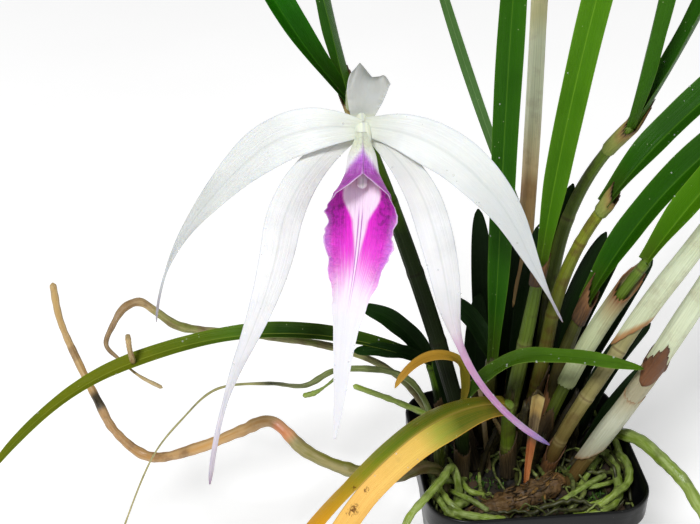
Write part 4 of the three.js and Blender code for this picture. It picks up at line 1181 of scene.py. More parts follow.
leaves = {
    "leaf_01_left": {
        "on": "pseudobulb_flowering", "heading": (186, 196, 200), "rise": (52, 70, 76), "length": 176,
        "width": 14, "facing": (300, 20), "fold": (50, 34, 16), "shift": -1.6, "look": "dark",
    },
    "leaf_01_right": {
        "on": "pseudobulb_flowering", "heading": (187, 195, 200), "rise": (74, 84, 86), "length": 165,
        "width": 12, "facing": (200, 0), "fold": (50, 34, 16), "shift": -1.6, "look": "deep",
    },
    "leaf_02": {
        "on": "pseudobulb_02", "heading": (61, 110, 168), "rise": (84, 90, 92), "length": 206, "width": 11.5,
        "facing": (264, 10), "fold": (48, 30, 14), "look": "deep",
    },
    "leaf_03_left": {
        "on": "pseudobulb_03", "heading": (158, 172), "rise": (87, 70), "length": 140, "width": 12,
        "facing": (320, 10), "fold": (50, 30, 14), "shift": -1.7, "look": "deep",
    },
    "leaf_03_right": {
        "on": "pseudobulb_03", "heading": (330, 340), "rise": (84, 66), "length": 150, "width": 12,
        "facing": (150, 10), "fold": (50, 30, 14), "shift": -1.7, "look": "bright",
    },
    "leaf_04": {
        "on": "pseudobulb_04", "heading": (-25, -50), "rise": (86, 76), "length": 200, "width": 12,
        "facing": (262, 8), "fold": (44, 22, 10), "look": "bright",
    },
    "leaf_04_narrow": {
        "on": "pseudobulb_04", "heading": (164, 160), "rise": (66, 73), "length": 150, "width": 4.5,
        "facing": (264, 10), "fold": (40, 20, 10), "shift": -1.6, "look": "pale",
    },
    "leaf_05_left": {
        "on": "pseudobulb_05", "heading": (-64, -93), "rise": (77, 84), "length": 165, "width": 11,
        "facing": (20, 20), "fold": (50, 34, 20), "shift": -1.5, "look": "deep",
    },
    "leaf_05_right": {
        "on": "pseudobulb_05", "heading": (-5, -4), "rise": (64, 78), "length": 165, "width": 12,
        "facing": (190, 20), "fold": (50, 34, 20), "shift": -1.5, "look": "deep",
    },
    "leaf_06": {
        "on": "pseudobulb_06", "heading": (8, 16, 22), "rise": (56, 30, 14), "length": 150, "width": 16,
        "facing": (230, 60), "fold": (46, 28, 12), "look": "deep",
    },
    "leaf_07": {
        "on": "pseudobulb_07", "heading": (12, -2, -4), "rise": (65, 44, 30), "length": 165, "width": 15,
        "facing": (230, 50), "fold": (46, 28, 12), "look": "deep",
    },
    "leaf_08": {
        "on": "pseudobulb_08", "heading": (-2, 6, 12), "rise": (62, 46, 30), "length": 140, "width": 15,
        "facing": (230, 50), "fold": (48, 28, 12), "look": "bright",
    },
    "leaf_09": {
        "on": "pseudobulb_09", "heading": (-10, -16), "rise": (60, 44), "length": 140, "width": 15,
        "facing": (220, 50), "fold": (48, 28, 12), "look": "bright",
    },
    "leaf_10": {
        "on": "pseudobulb_10", "heading": (-14, -20), "rise": (62, 48), "length": 130, "width": 15,
        "facing": (220, 50), "fold": (48, 28, 12), "look": "bright",
    },
    "leaf_yellow": {
        "on": "pseudobulb_11", "heading": (202, 206, 231, 240), "rise": (22, -26, -21, -40), "length": 150,
        "width": 18, "facing": (264, 70), "fold": (-16, -30, -34, -34), "look": "yellow",
        "split": (0, 0, 0, 0, 0, 1.2, 2.6, 3.2, 3.4),
    },
    "leaf_long_arching": {
        "on": "pseudobulb_13", "heading": (170, 184, 194, 217), "rise": (25, 5, -16, -41), "length": 199,
        "width": 10.5, "facing": (264, 70), "fold": (44, 34, 24), "tipFrom": 0, "look": "arching",
    },
    "leaf_small_green": {
        "on": "pseudobulb_12", "heading": (23, -35, -7), "rise": (60, 17, -15), "length": 81, "width": 7,
        "facing": (264, 60), "fold": (40, 24, 14), "shift": -1.2, "look": "small",
    },
    "leaf_small_yellow": {
        "on": "pseudobulb_12", "heading": (187, 200, 186, 219), "rise": (106, 72, -14, -54), "length": 55,
        "width": 4.5, "facing": (264, 60), "fold": (40, 20, 14), "shift": -1.2, "look": "tan",
    },
    "leaf_shaded_1": {
        "on": "pseudobulb_13", "heading": (151, 176), "rise": (62, 19), "length": 40, "width": 9,
        "facing": (264, 50), "fold": (40, 20, 14), "shift": -1.2, "look": "dim",
    },
    "leaf_shaded_3": {
        "on": "pseudobulb_13", "heading": (178, 188), "rise": (30, 0), "length": 34, "width": 7,
        "facing": (264, 60), "fold": (40, 20, 14), "shift": 1.5, "look": "dim",
    },
    "leaf_shaded_2": {
        "on": "pseudobulb_02", "heading": (119, 156), "rise": (66, 18), "length": 34, "width": 8,
        "facing": (264, 40), "fold": (40, 20, 14), "shift": -1.2, "look": "dim",
    },
}

# Near-black blades set between the stems as painted shade, filling the dark gaps of the clump
shadeBlades = {
    "old_blade_1": {"foot": (-14, 31, 76), "heading": (120, 60), "rise": (86, 78), "length": 64, "width": 11},
    "old_blade_2": {
        "foot": (-8, 35, 76), "heading": (110, 120), "rise": (84, 80), "length": 100, "width": 11,
    },
    "old_blade_3": {"foot": (5, 37, 76), "heading": (40, 10), "rise": (84, 74), "length": 112, "width": 11},
    "old_blade_4": {"foot": (16, 34, 76), "heading": (20, 0), "rise": (80, 60), "length": 105, "width": 11},
    "old_blade_5": {"foot": (20, 24, 76), "heading": (10, -8), "rise": (80, 56), "length": 92, "width": 11},
    "old_blade_6": {"foot": (22, 12, 76), "heading": (0, -14), "rise": (78, 58), "length": 80, "width": 10},
    "old_blade_7": {"foot": (24, 1, 76), "heading": (-5, -20), "rise": (74, 58), "length": 58, "width": 7},
    "old_blade_8": {"foot": (-22, 15, 76), "heading": (190, 180), "rise": (78, 70), "length": 52, "width": 6},
    "old_blade_9": {"foot": (0, 24, 76), "heading": (60, 30), "rise": (87, 80), "length": 100, "width": 10},
    "old_blade_10": {"foot": (12, 21, 76), "heading": (40, 0), "rise": (86, 66), "length": 100, "width": 10},
    "old_blade_11": {
        "foot": (-1.5, 37, 76), "heading": (60, 110), "rise": (86, 88), "length": 104, "width": 12,
    },
    "old_blade_12": {"foot": (28, 30, 76), "heading": (0, -10), "rise": (70, 50), "length": 60, "width": 8},
}

leafThickness, shadeBladeThickness, petalThickness = 1.1, 0.8, 0.8
faces = {}  # the upper face of each blade, for the drops that lie on it


def strapWidth(t, tipFrom=0.55):
    # clasping foot, near parallel sides, and a tip as sqrt(1 - u²) from tipFrom on
    base = 0.56 + 0.44 * smooth(t, 0, 0.22)
    tip = np.sqrt(1 - np.clip((t - tipFrom) / (1 - tipFrom), 0, 1) ** 2 * 0.995)
    return base * np.maximum(tip, 0.07)


def bladeRings(path, piece, width, thickness, columns, crinkle=0.0):
    # path + side * (v half cos(fold) + aside) + front * (|v|^1.3 half sin(fold) + wave v² + crinkle v⁶
    # + (sin a - 1) thickness / 2), with v = middle - share cos a over the upper face and back under it
    points, tangents = path
    side, front = facingFrames(tangents, piece["facing"])
    t = shares(len(points) - 1)[:, None]
    a = np.linspace(0, 2 * np.pi, columns * 2, endpoint=False)[None, :]
    v = piece.get("middle", 0) - piece.get("share", 1) * np.cos(a)
    half = width / 2 * t**0
    fold = np.radians(spread(piece["fold"], t))
    lag = np.where(v > 0, 1.3, 0.0)
    turns = piece.get("waves", 3) * 2 * np.pi * t
    wave = piece.get("wave", 0.5) * np.sin(turns + piece.get("phase", 0) + lag)
    fine = np.sin(47 * t + 2 * lag) + 0.7 * np.sin(83 * t + 5 * lag) + 0.5 * np.sin(131 * t + lag)
    wide = np.minimum(1, half / 3)
    rise = np.abs(v) ** 1.3 * half * np.sin(fold) + (wave * v**2 + crinkle * fine * v**6) * wide
    thick = thickness * (0.75 + 0.25 * (1 - t)) * np.minimum(1, 0.35 + half / 4)
    rise = rise + (np.sin(a) - 1) * thick / 2
    aside = v * half * np.cos(fold) + spread(piece.get("aside", 0), t)
    rings = points[:, None, :] + side[:, None, :] * aside[:, :, None] + front[:, None, :] * rise[:, :, None]
    return rings, (v + 1) / 2, (1 - np.sin(a)) / 2


def keepFace(name, rings):
    # the upper face and its outward normals, from the cross product of the across and along steps
    upper = rings[:, : rings.shape[1] // 2 + 1]
    faces[name] = (upper, unit(np.cross(np.gradient(upper, axis=1), np.gradient(upper, axis=0))))


def buildLeaves():
    materials = {key: leafMaterial(f"{key} leaf", look) for key, look in leafLooks.items()}
    for name, leaf in leaves.items():
        ends, tangents = growthPath(canes[leaf["on"]], 60)
        look = direction(spread(leaf["facing"][0], 0), spread(leaf["facing"][1], 0))
        foot = ends[-1] - tangents[-1] + look * leaf.get("shift", 0)
        rows = int(leaf["length"] / 1.7)
        path = growthPath({**leaf, "foot": foot}, rows)
        width = leaf["width"] * strapWidth(shares(rows)[:, None], leaf.get("tipFrom", 0.55))
        slot = "yellow_leaf" if leaf["look"] in ("yellow", "tan") else "green_leaf"
        halves = {"blade": {}}
        if "split" in leaf:
            aside = np.array(leaf["split"])
            halves = {
                "far_half": {"middle": 0.5, "aside": aside}, "near_half": {"middle": -0.5, "aside": -aside},
            }
        for half, changes in halves.items():
            shape = {**leaf, "share": 1 / len(halves), **changes}
            rings, across, under = bladeRings(path, shape, width, leafThickness, 18, crinkle=0.03)
            place(makeSkin(f"{name}_{half}", rings, across, under=under), materials[leaf["look"]], slot, name)
        keepFace(name, rings)


def buildShadeBlades():
    # the near-black colour of these blades is painted shade
    material = leafMaterial("painted shade blade", leafLooks["shade"])
    for name, blade in shadeBlades.items():
        piece = {**blade, "facing": (264, 20), "fold": (44, 26, 12), "waves": 2, "phase": len(name)}
        path = growthPath(piece, int(blade["length"] / 2))
        width = blade["width"] * strapWidth(shares(len(path[0]) - 1)[:, None])
        rings, across, under = bladeRings(path, piece, width, shadeBladeThickness, 10)
        place(makeSkin(name, rings, across, under=under), material, "green_leaf")


buildLeaves()
buildShadeBlades()

# Torn scales that clasp the foot of a leaf: from below mm under the stem's tip to above mm over it,
# cut back on the side that faces the heading cutToward
tipScales = {
    "leaf_05_right": {"below": 16, "above": 15, "torn": 0.62, "cutToward": 250, "look": "tip"},
    "leaf_06": {"below": 6, "above": 9, "torn": 0.5, "cutToward": 300, "look": "tip"},
    "leaf_07": {"below": 12, "above": 13, "torn": 0.6, "cutToward": 300, "look": "rust"},
    "leaf_04": {"below": 10, "above": 5, "torn": 0.5, "cutToward": 200, "look": "rust"},
    "leaf_01_right": {"below": 12, "above": 12, "torn": 0.6, "cutToward": 240, "look": "tip"},
    "leaf_09": {"below": 10, "above": 10, "torn": 0.5, "cutToward": 260, "look": "tip"},
    "leaf_10": {"below": 10, "above": 10, "torn": 0.5, "cutToward": 260, "look": "tip"},
    "leaf_03_right": {"below": 8, "above": 8, "torn": 0.5, "cutToward": 260, "look": "tip"},
}


def buildTipScales():
    stops = [(0.0, "#667a24"), (0.5, "#7f8438"), (0.8, "#8a6c34"), (1.0, "#4f2c14")]
    papers["tip"] = paperMaterial("tip sheath", stops, "#8f9450", "#3c2410")
    for name, scale in tipScales.items():
        leaf = leaves[name]
        cane = canes[leaf["on"]]
        stem = growthPath(cane, 80)[0]
        line = np.vstack([stem[-40:-1], growthPath({**leaf, "foot": stem[-1]}, 80)[0]])
        tip = runOf(line)[39]
        points, tangents = alongLine(line, tip - scale["below"], tip + scale["above"], 39)
        side, front = carriedFrames(tangents)
        toward = direction(scale["cutToward"], 10)
        cutAt = np.degrees(np.arctan2(front[0] @ toward, side[0] @ toward))
        radius = caneRadius(1.0, cane["radius"])
        shape = {
            "span": (0.0, 1.0), "radius": (radius + 0.45, radius + 0.7, radius + 0.75, radius + 0.5),
            "torn": scale["torn"], "cutAt": cutAt, "slant": 0.1, "lowAt": cutAt,
        }
        length = scale["below"] + scale["above"]
        placeSheath(f"{name}_tip_scale", (points, tangents), length, shape, papers[scale["look"]])


buildTipScales()
print("leaves built")


# Flower: column and ovary, five tepals and the lip, round one heart

heart = np.array([-69.0, -14.0, 242.0])
flowerFacing = (264, 14)

column = {
    "route": [
        (-70.3, 16.6, 236), (-70.5, 13.5, 244), (-70, 7, 249), (-69.5, -3, 248), (-69, -11, 244.5),
        (-69, -15, 241), (-69.4, -19, 234.5), (-70.2, -24, 224),
    ],
    "radius": 1.5, "heartSwell": 1.2, "capSwell": 0.4, "length": 62, "rows": 120,
}

# dorsal sepal: white flesh greyed all over as painted shade, a little greener at its foot
dorsalStops = [(0.0, "#cdd2b4"), (0.12, "#b9bcb6"), (0.5, "#a9aba6"), (0.8, "#a0a29e"), (1.0, "#8b8f8a")]
# petals: white, greying towards their outer parts as painted shade, with a darker purple-grey tip
petalStops = [
    (0.0, "#e2e7d0"), (0.05, "#e0e4da"), (0.14, "#e8ebe9"), (0.32, "#e0e3e1"), (0.6, "#c6cac8"),
    (0.85, "#c2c5c7"), (1.0, "#857890"),
]
sepalStops = [
    (0.0, "#dfe4cc"), (0.06, "#e2e4df"), (0.3, "#efeff0"), (0.5, "#efeef0"), (0.8, "#e0dce6"),
    (0.96, "#cdbdd2"), (1.0, "#8f6a98"),
]
tailStops = [
    (0.0, "#dfe4cc"), (0.06, "#e2e4df"), (0.3, "#efeff0"), (0.5, "#e2e1e4"), (0.59, "#e0d2dc"),
    (0.65, "#c983ba"), (0.85, "#bc6cb4"), (0.94, "#a65cb0"), (0.98, "#6a3a9a"), (1.0, "#4f2c80"),
]

tepals = {
    "petal_left": {
        "foot": (-3, -0.6, 1.1), "heading": (178, 162, 192, 205), "rise": (12, -44, -53, -84),
        "length": 117, "width": 17, "base": 0.4, "peak": 0.22, "sharpness": 2.6, "wave": 0.9, "waves": 4,
        "fold": 8, "inward": 2.4, "stops": petalStops,
    },
    "petal_right": {
        "foot": (3, -0.6, 1.1), "heading": (-2, -19, -27, -31), "rise": (-3, -36, -62, -59), "length": 106,
        "width": 17, "base": 0.4, "peak": 0.28, "sharpness": 1.8, "wave": 0.9, "waves": 4, "phase": 1.5,
        "fold": 8, "inward": 2.4, "stops": petalStops,
    },
    "sepal_left": {
        "foot": (-1.9, 1.2, -1.4), "heading": (183, 195, 220, 246), "rise": (-27, -80, -55, -70),
        "length": 148, "width": 13.5, "base": 0.4, "peak": 0.3, "sharpness": 2.4, "tail": 0.15, "wave": 0.5,
        "waves": 4, "fold": -10, "stops": sepalStops,
    },
    "sepal_right": {
        "foot": (2.4, 2.3, -1.8), "heading": (-31, -15, -41, -23, -12), "rise": (-30, -72, -80, -54, -29),
        "length": 147, "width": 13, "base": 0.4, "peak": 0.3, "sharpness": 2.2, "tail": 0.26,
        "neck": (0.5, 0.66, 0.5), "wave": 0.5, "waves": 4, "phase": 2, "fold": (0, -10, -20, -40, -44),
        "stops": tailStops,
    },
    "sepal_dorsal": {
        "foot": (0.3, 2.9, 3), "heading": (84, 60), "rise": (74, 70, 62, 12), "length": 17, "width": 15.5,
        "base": 0.52, "peak": 0.86, "sharpness": 0.38, "wave": 0.4, "waves": 2, "fold": (16, 10, 4, 0),
        "aside": (0, 1.2, 1.9),
        "crest": ((0.66, 0.34, 3.4), (-0.66, 0.16, 1.9), (-0.2, 0.2, -1.0), (-1, 0.2, -1.2)),
        "stops": dorsalStops,
    },
}

lip = {
    "foot": (-69, -14.2, 238.6), "heading": (268, 255, 241, 242, 234), "rise": (-66, -65, -65, -79, -76),
    "length": 111,
    "halfWidth": (9, 13, 16.5, 18, 16, 14.5, 12.6, 10, 7.6, 6, 4.5, 3.7, 3.1, 2.5, 1.9, 1.2, 0.5),
    "roll": (184, 184, 180, 108, 76, 60, 50, 44, 38, 34, 30, 27, 24, 21, 18, 15, 12),
    "ruffle": 0.8, "ruffles": 9, "thickness": 0.9, "inward": 2.4, "rows": 280, "columns": 56,
}


def petalWidth(t, base, peak, sharpness, tail):
    # a quarter sine up to the peak, then (1 - u)^s (1 + s u), or a tail of even width if that is more, with
    # a rounded end
    up = base + (1 - base) * np.sin(np.pi / 2 * np.clip(t / peak, 0, 1))
    u = np.clip((t - peak) / (1 - peak), 0, 1)
    end = tail * np.sqrt(np.maximum(1 - np.maximum((u - 0.92) / 0.08, 0) ** 2, 0.1))
    return np.where(t < peak, up, np.maximum((1 - u) ** sharpness * (1 + sharpness * u), end))


def buildTepals():
    for name, tepal in tepals.items():
        inward = tepal.get("inward", 0)
        foot = heart + np.array(tepal["foot"]) - inward * direction(tepal["heading"][0], tepal["rise"][0])
        piece = {**tepal, "foot": foot, "length": tepal["length"] + inward, "facing": flowerFacing}
        rows = max(70, int(tepal["length"] * 1.3))
        path = growthPath(piece, rows)
        t = shares(rows)[:, None]
        tail = tepal.get("tail", 0.06)
        width = tepal["width"] * petalWidth(t, tepal["base"], tepal["peak"], tepal["sharpness"], tail)
        if "neck" in tepal:
            start, end, loss = tepal["neck"]
            narrowed = width * (1 - loss * smooth(t, start, end))
            width = np.maximum(narrowed, np.minimum(width, tepal["width"] * tail))
        rings, across, under = bladeRings(path, piece, width, petalThickness, 36, crinkle=0.12)
        aside = (across * 2 - 1) * width / width.max()
        for middle, reach, height in tepal.get("crest", ()):
            rings[:, :, 2] += height * np.exp(-((aside - middle) / reach) ** 2) * smooth(t, 0.3, 0.75)
        mesh = makeSkin(f"{name}_flesh", rings, across, under=under)
        place(mesh, petalMaterial(f"{name} white", tepal["stops"]), "white_petal", name)
        keepFace(name, rings)


def buildLip():
    # path + side * sin(v roll) r + front * (radius - cos(v roll) r), with radius = halfWidth / roll and
    # r = radius + lobe (ruffle v⁴ + crimp v⁶ + quilt (1 - v²)) on the inner face, plus the thickness
    # on the outer one
    rows, columns = lip["rows"], lip["columns"]
    foot = np.array(lip["foot"]) - lip["inward"] * direction(lip["heading"][0], lip["rise"][0])
    length = lip["length"] + lip["inward"]
    path = growthPath({**lip, "foot": foot, "length": length}, rows)
    side, front = facingFrames(path[1], flowerFacing)
    t = shares(rows)[:, None]
    a = np.linspace(0, 2 * np.pi, columns * 2, endpoint=False)[None, :]
    v = -np.cos(a)
    roll = np.radians(spread(lip["roll"], t))
    radius = spread(lip["halfWidth"], t) / roll
    lobe = np.sin(np.pi * np.clip((t - 0.09) / 0.5, 0, 1)) ** 0.6
    lag = np.where(v > 0, 1.0, 0.0)
    ruffle = lip["ruffle"] * v**4 * np.sin(lip["ruffles"] * 2 * np.pi * t + lag)
    crimp = np.sin(97 * t + 3 * lag) + 0.8 * np.sin(149 * t + lag)
    crimp = crimp + 0.5 * np.sin(233 * t) + 0.3 * np.sin(311 * t)
    crimp = 0.36 * v**6 * crimp * (0.6 + 0.4 * np.sin(23 * t + 2 * lag))
    quilt = 0.18 * np.sin(38 * t) * np.cos(14 * v) * (1 - v**2)
    thick = lip["thickness"] * (0.7 + 0.3 * (1 - t)) * 0.9
    overlap = 0.45 * v * (1 - smooth(t, 0.1, 0.17))
    reach = radius + (ruffle + crimp + quilt) * lobe + overlap + thick * (1 - np.sin(a)) / 2
    rings = (path[0][:, None, :] + side[:, None, :] * (np.sin(v * roll) * reach)[:, :, None]
             + front[:, None, :] * (radius - np.cos(v * roll) * reach)[:, :, None])
    middle = rings.mean(1, keepdims=True)
    rings = middle + (rings - middle) * (0.58 + 0.42 * smooth(t * length, 0, 9))[:, :, None]
    mesh = makeSkin("lip_flesh", rings, (v + 1) / 2, inner=smooth(np.sin(a), -0.25, 0.25))
    place(mesh, lipMaterial("lip magenta"), "magenta_lip", "lip")
    keepFace("lip", rings)


def buildColumn():
    # a round stalk with a swelling at the heart and a rounded white cap at its end
    points, tangents = routePath(column["route"], column["rows"])
    t = shares(column["rows"])
    boss = smooth(t, 0.5, 0.68) * (1 - smooth(t, 0.72, 0.96))
    radius = column["radius"] + column["heartSwell"] * 1.2 * boss + column["capSwell"] * smooth(t, 0.85, 1.0)
    radius = roundEnds(t, column["length"], radius) * (1 - 0.12 * np.exp(-((t - 0.9) / 0.012) ** 2))
    rings = tubeRings(points, tangents, radius, 30, grooves=0.03, grooveCount=3)
    stops = [
        (0.0, "#8f9c5c"), (0.3, "#c2cc98"), (0.56, "#dfe4cc"), (0.7, "#e2e6d0"), (0.86, "#e6dfe2"),
        (0.92, "#d9a8c8"), (0.95, "#f2eef2"), (1.0, "#f6f2f6"),
    ]
    mesh = makeSkin("column_flesh", rings, under=np.zeros(1))
    place(mesh, petalMaterial("column pale green", stops), "flower_stalk", "column_and_ovary")


buildTepals()
buildLip()
buildColumn()
print("flower built")


# Roots and rhizome

deadRoot = [
    (0.0, "#2c3012"), (0.16, "#4f5418"), (0.27, "#68691f"), (0.35, "#726c28"), (0.365, "#b8703a"),
    (0.39, "#a8623a"), (0.4, "#7a5a2c"), (0.43, "#946f3a"), (0.52, "#b98d50"), (0.66, "#a0743c"),
    (0.757, "#9a703c"), (0.765, "#160c06"), (0.785, "#160c06"), (0.795, "#a8824c"), (1.0, "#b99a62"),
]
curledRoot = [
    (0.0, "#4a541a"), (0.3, "#66702a"), (0.585, "#6f7a28"), (0.6, "#4a3010"), (0.615, "#6a7628"),
    (0.7, "#7a7c34"), (0.72, "#b8a070"), (0.75, "#8a6a3c"), (0.84, "#7a5a30"), (0.95, "#a08a5c"),
    (1.0, "#b09a6c"),
]
thinRoot = [
    (0.0, "#4a5a18"), (0.42, "#56641e"), (0.5, "#3a3a12"), (0.54, "#1c1a08"), (0.57, "#8a8450"),
    (1.0, "#b9ac78"),
]
greenRoot = [(0.0, "#4c5c12"), (0.5, "#667f1c"), (1.0, "#80962c")]
tanRoot = [(0.0, "#8a6a40"), (0.5, "#a8845a"), (1.0, "#c09a6a")]

roots = {
    "root_long_dead": {
        "radius": (2.4, 2.7, 2.7, 2.35, 2.15, 1.9, 1.6, 1.45), "stops": deadRoot, "slot": "dry_root",
        "route": [
            (-33, -12, 74), (-37, -13, 88), (-45, -18, 95), (-58, -24, 96), (-76, -22, 100),
            (-91, -17, 106), (-104, -7, 114), (-116, -4, 108), (-132, -2, 100), (-153, 3, 93),
            (-167, 13, 100), (-173, 21, 109), (-180, 31, 121), (-187, 41, 137), (-189, 47, 151),
        ],
    },
    "root_curled": {
        "radius": (1.4, 1.4, 1.4, 1.4, 1.5, 1.6, 1.7, 1.8, 1.9, 1.9, 1.8, 1.6, 0.9, 0.5, 0.9),
        "stops": curledRoot, "slot": "dry_root",
        "route": [
            (-33, 22, 74), (-38, 22, 95), (-52, 26, 112), (-71, 30, 121), (-101, 36, 126), (-130, 36, 131),
            (-140, 35, 135), (-148, 37, 141), (-154, 38, 145), (-160, 36, 144), (-165, 31, 139),
            (-168, 26, 133), (-163, 21, 129), (-155, 14, 125), (-146, 9, 122),
        ],
    },
    "root_thin": {
        "radius": (1.3, 1.3, 1.3, 1.2, 0.6, 0.4, 0.35, 0.35), "stops": thinRoot,
        "route": [
            (-34, 8, 74), (-36, 9, 92), (-40, 11, 107), (-51, 7, 123), (-77, 4, 129), (-90, -1, 126),
            (-104, -1, 128), (-125, -3, 128), (-139, -11, 120), (-150, -20, 111), (-162, -37, 92),
            (-165, -42, 86),
        ],
    },
    "root_olive": {
        "radius": (1.3, 1.3, 1.1),
        "route": [(-34, -1, 74), (-34, 1, 90), (-36, 2, 102), (-50, 0, 113), (-71, -3, 126)],
    },
    "root_aerial_right": {
        "radius": (2.4, 2.7, 2.6, 2.4),
        "route": [
            (34, 13, 74), (36, 7, 87), (39, -4, 95), (45, -14, 98), (51, -24, 96), (58, -33, 91),
            (61, -41, 87), (65, -48, 81), (69, -56, 72),
        ],
    },
    "root_over_rim": {
        "radius": (1.7, 1.8, 1.5),
        "route": [
            (-30, -19, 74), (-30, -18, 84), (-32, -15, 91.5), (-38.6, -26, 94), (-46, -34.6, 93),
            (-53.5, -40.5, 88), (-57, -46, 81),
        ],
    },
    "roots_inside_right_1": {
        "node": "roots_inside_right", "radius": (2.2, 1.65),
        "route": [
            (35.5, 4, 80), (37.6, -3, 80), (37, -13, 80), (33.5, -27, 80), (25, -34, 79.5), (13, -35, 79),
        ],
    },
    "roots_inside_right_2": {
        "node": "roots_inside_right", "radius": (1.5, 1.1),
        "route": [(35, 2, 81), (29, -6, 81), (21, -17, 80), (17, -23, 79)],
    },
    "roots_inside_right_3": {
        "node": "roots_inside_right", "radius": (1.7, 1.3),
        "route": [(36, -21, 80.5), (29, -29, 81), (20, -30, 79.5)],
    },
    "roots_inside_left_1": {
        "node": "roots_inside_left", "radius": (2.1, 1.6),
        "route": [(-26, -21, 79), (-31, -25, 80.5), (-36, -29, 80), (-35, -34, 79.5), (-29, -37, 79)],
    },
    "roots_inside_left_2": {
        "node": "roots_inside_left", "radius": (1.8, 1.35),
        "route": [(-36, -34, 79.5), (-26, -37.5, 80), (-13, -37, 79)],
    },
}

# Smaller roots that only the scene has: green ones coiled inside the rim, a fork and two tan stubs
rootlets = {
    "curl_stub": {
        "radius": (1.3, 1.1, 1.2), "stops": tanRoot,
        "route": [(-157, 14.5, 131), (-157.8, 11, 140), (-158, 10, 147.5)],
    },
    "rootlet_1": {
        "radius": (1.3, 1.1),
        "route": [(31.8, -14.3, 82), (25, -19.2, 83), (14.5, -25.7, 82), (6, -29, 79)],
    },
    "rootlet_2": {
        "radius": (1.5, 1.6, 1.3),
        "route": [(-36, -28, 82), (-35, -33, 84), (-28, -37, 84.5), (-20.7, -38, 83.5), (-14, -35, 80)],
    },
    "rootlet_3": {
        "radius": (1.6, 1.4), "route": [(-39, -4, 80), (-38, -16, 83), (-35, -27, 83.5), (-30, -31, 80)],
    },
    "rootlet_4": {
        "radius": (1.3, 1.5), "route": [(-41, -17, 85), (-37, -17.4, 87), (-30, -14, 84), (-26, -7, 78)],
    },
    "rootlet_5": {
        "radius": (1.4, 1.2), "route": [(-41, -22, 84), (-39, -29, 86), (-37, -34, 85), (-31, -34, 81)],
    },
    "rootlet_6": {
        "radius": (1.6, 1.7, 1.4),
        "route": [(40, 3, 80), (41, -6, 84), (41, -15, 85), (38, -24, 85), (31, -30, 84.5), (22, -33, 80)],
    },
    "rootlet_7": {
        "radius": (1.3, 1.1), "route": [(-22, -3, 78), (-27, -11, 81), (-25, -19, 82), (-19, -18, 79)],
    },
    "rootlet_8": {
        "radius": (1.4, 1.6),
        "route": [(34, 24, 77), (38, 14, 82), (40, 6, 85), (41, -1, 82), (40, -6, 78)],
    },
    "rootlet_9": {
        "radius": (1.1, 0.9), "route": [(18, -12, 77), (24, -20, 81), (30, -20, 82), (35, -15, 79)],
    },
    "rootlet_10": {
        "radius": (1.2, 0.9), "route": [(-20, -32, 82), (-26, -27, 84), (-31, -21, 83), (-33, -12, 78)],
    },
    "rootlet_11": {
        "radius": (1.0, 0.8), "route": [(2, -38, 77), (10, -39, 80), (19, -38, 81), (28, -37, 77)],
    },
    "root_fork": {
        "radius": (0.8, 0.6, 0.5, 1.1, 1.2),
        "route": [(-75, 3.5, 128.6), (-79.5, 1, 125.5), (-86, -2, 123), (-91, -3, 122.5)],
    },
    "tan_stub": {
        "radius": (0.9, 1.2), "stops": tanRoot, "route": [(-12.6, 2, 102), (-10, 2, 97), (-7, 2, 91)],
    },
}


def routeLength(route):
    return float(runOf(np.array(route, float))[-1])


def buildRoot(name, root, material):
    # a tube whose radius is uneven: radius(t) * (1 + lumps), with rounded ends
    length = routeLength(root["route"])
    rows = max(30, int(length * 1.1))
    points, tangents = routePath(root["route"], rows)
    t = shares(rows)
    lumps = 0.07 * np.sin(t * 60) + 0.05 * waviness(t[:, None] * length, len(name), 7.0)
    radius = roundEnds(t, length, spread(root["radius"], t) * (1 + lumps))
    mesh = makeSkin(f"{name}_skin", tubeRings(points, tangents, radius, 18, grooves=0.06, grooveCount=4))
    node = root.get("node", name)
    place(mesh, material, root["slot"], *([node] if node else []))


def buildRoots():
    made = {}
    extra = {name: {"node": None, **root} for name, root in rootlets.items()}
    for name, root in {**roots, **extra}.items():
        root = {"stops": greenRoot, "slot": "green_root", **root}
        key = root["stops"][1][1]
        if key not in made:
            skin, stain = ("#c9b48c", "#5a3a1c") if root["slot"] == "dry_root" else ("#b9c486", "#38420f")
            made[key] = rootMaterial(f"root skin {len(made) + 1}", root["stops"], skin, stain)
        buildRoot(name, root, made[key])


rhizome = {
    "foot": (-25, -30, 79), "heading": (19, 20, 23, 47), "rise": (0, 4, 0, -4), "length": 44, "rows": 220,
    "radius": 3.3, "swell": 1.6, "scales": 9, "step": 0.35, "fibres": 130, "fibreLength": (2.4, 6),
}


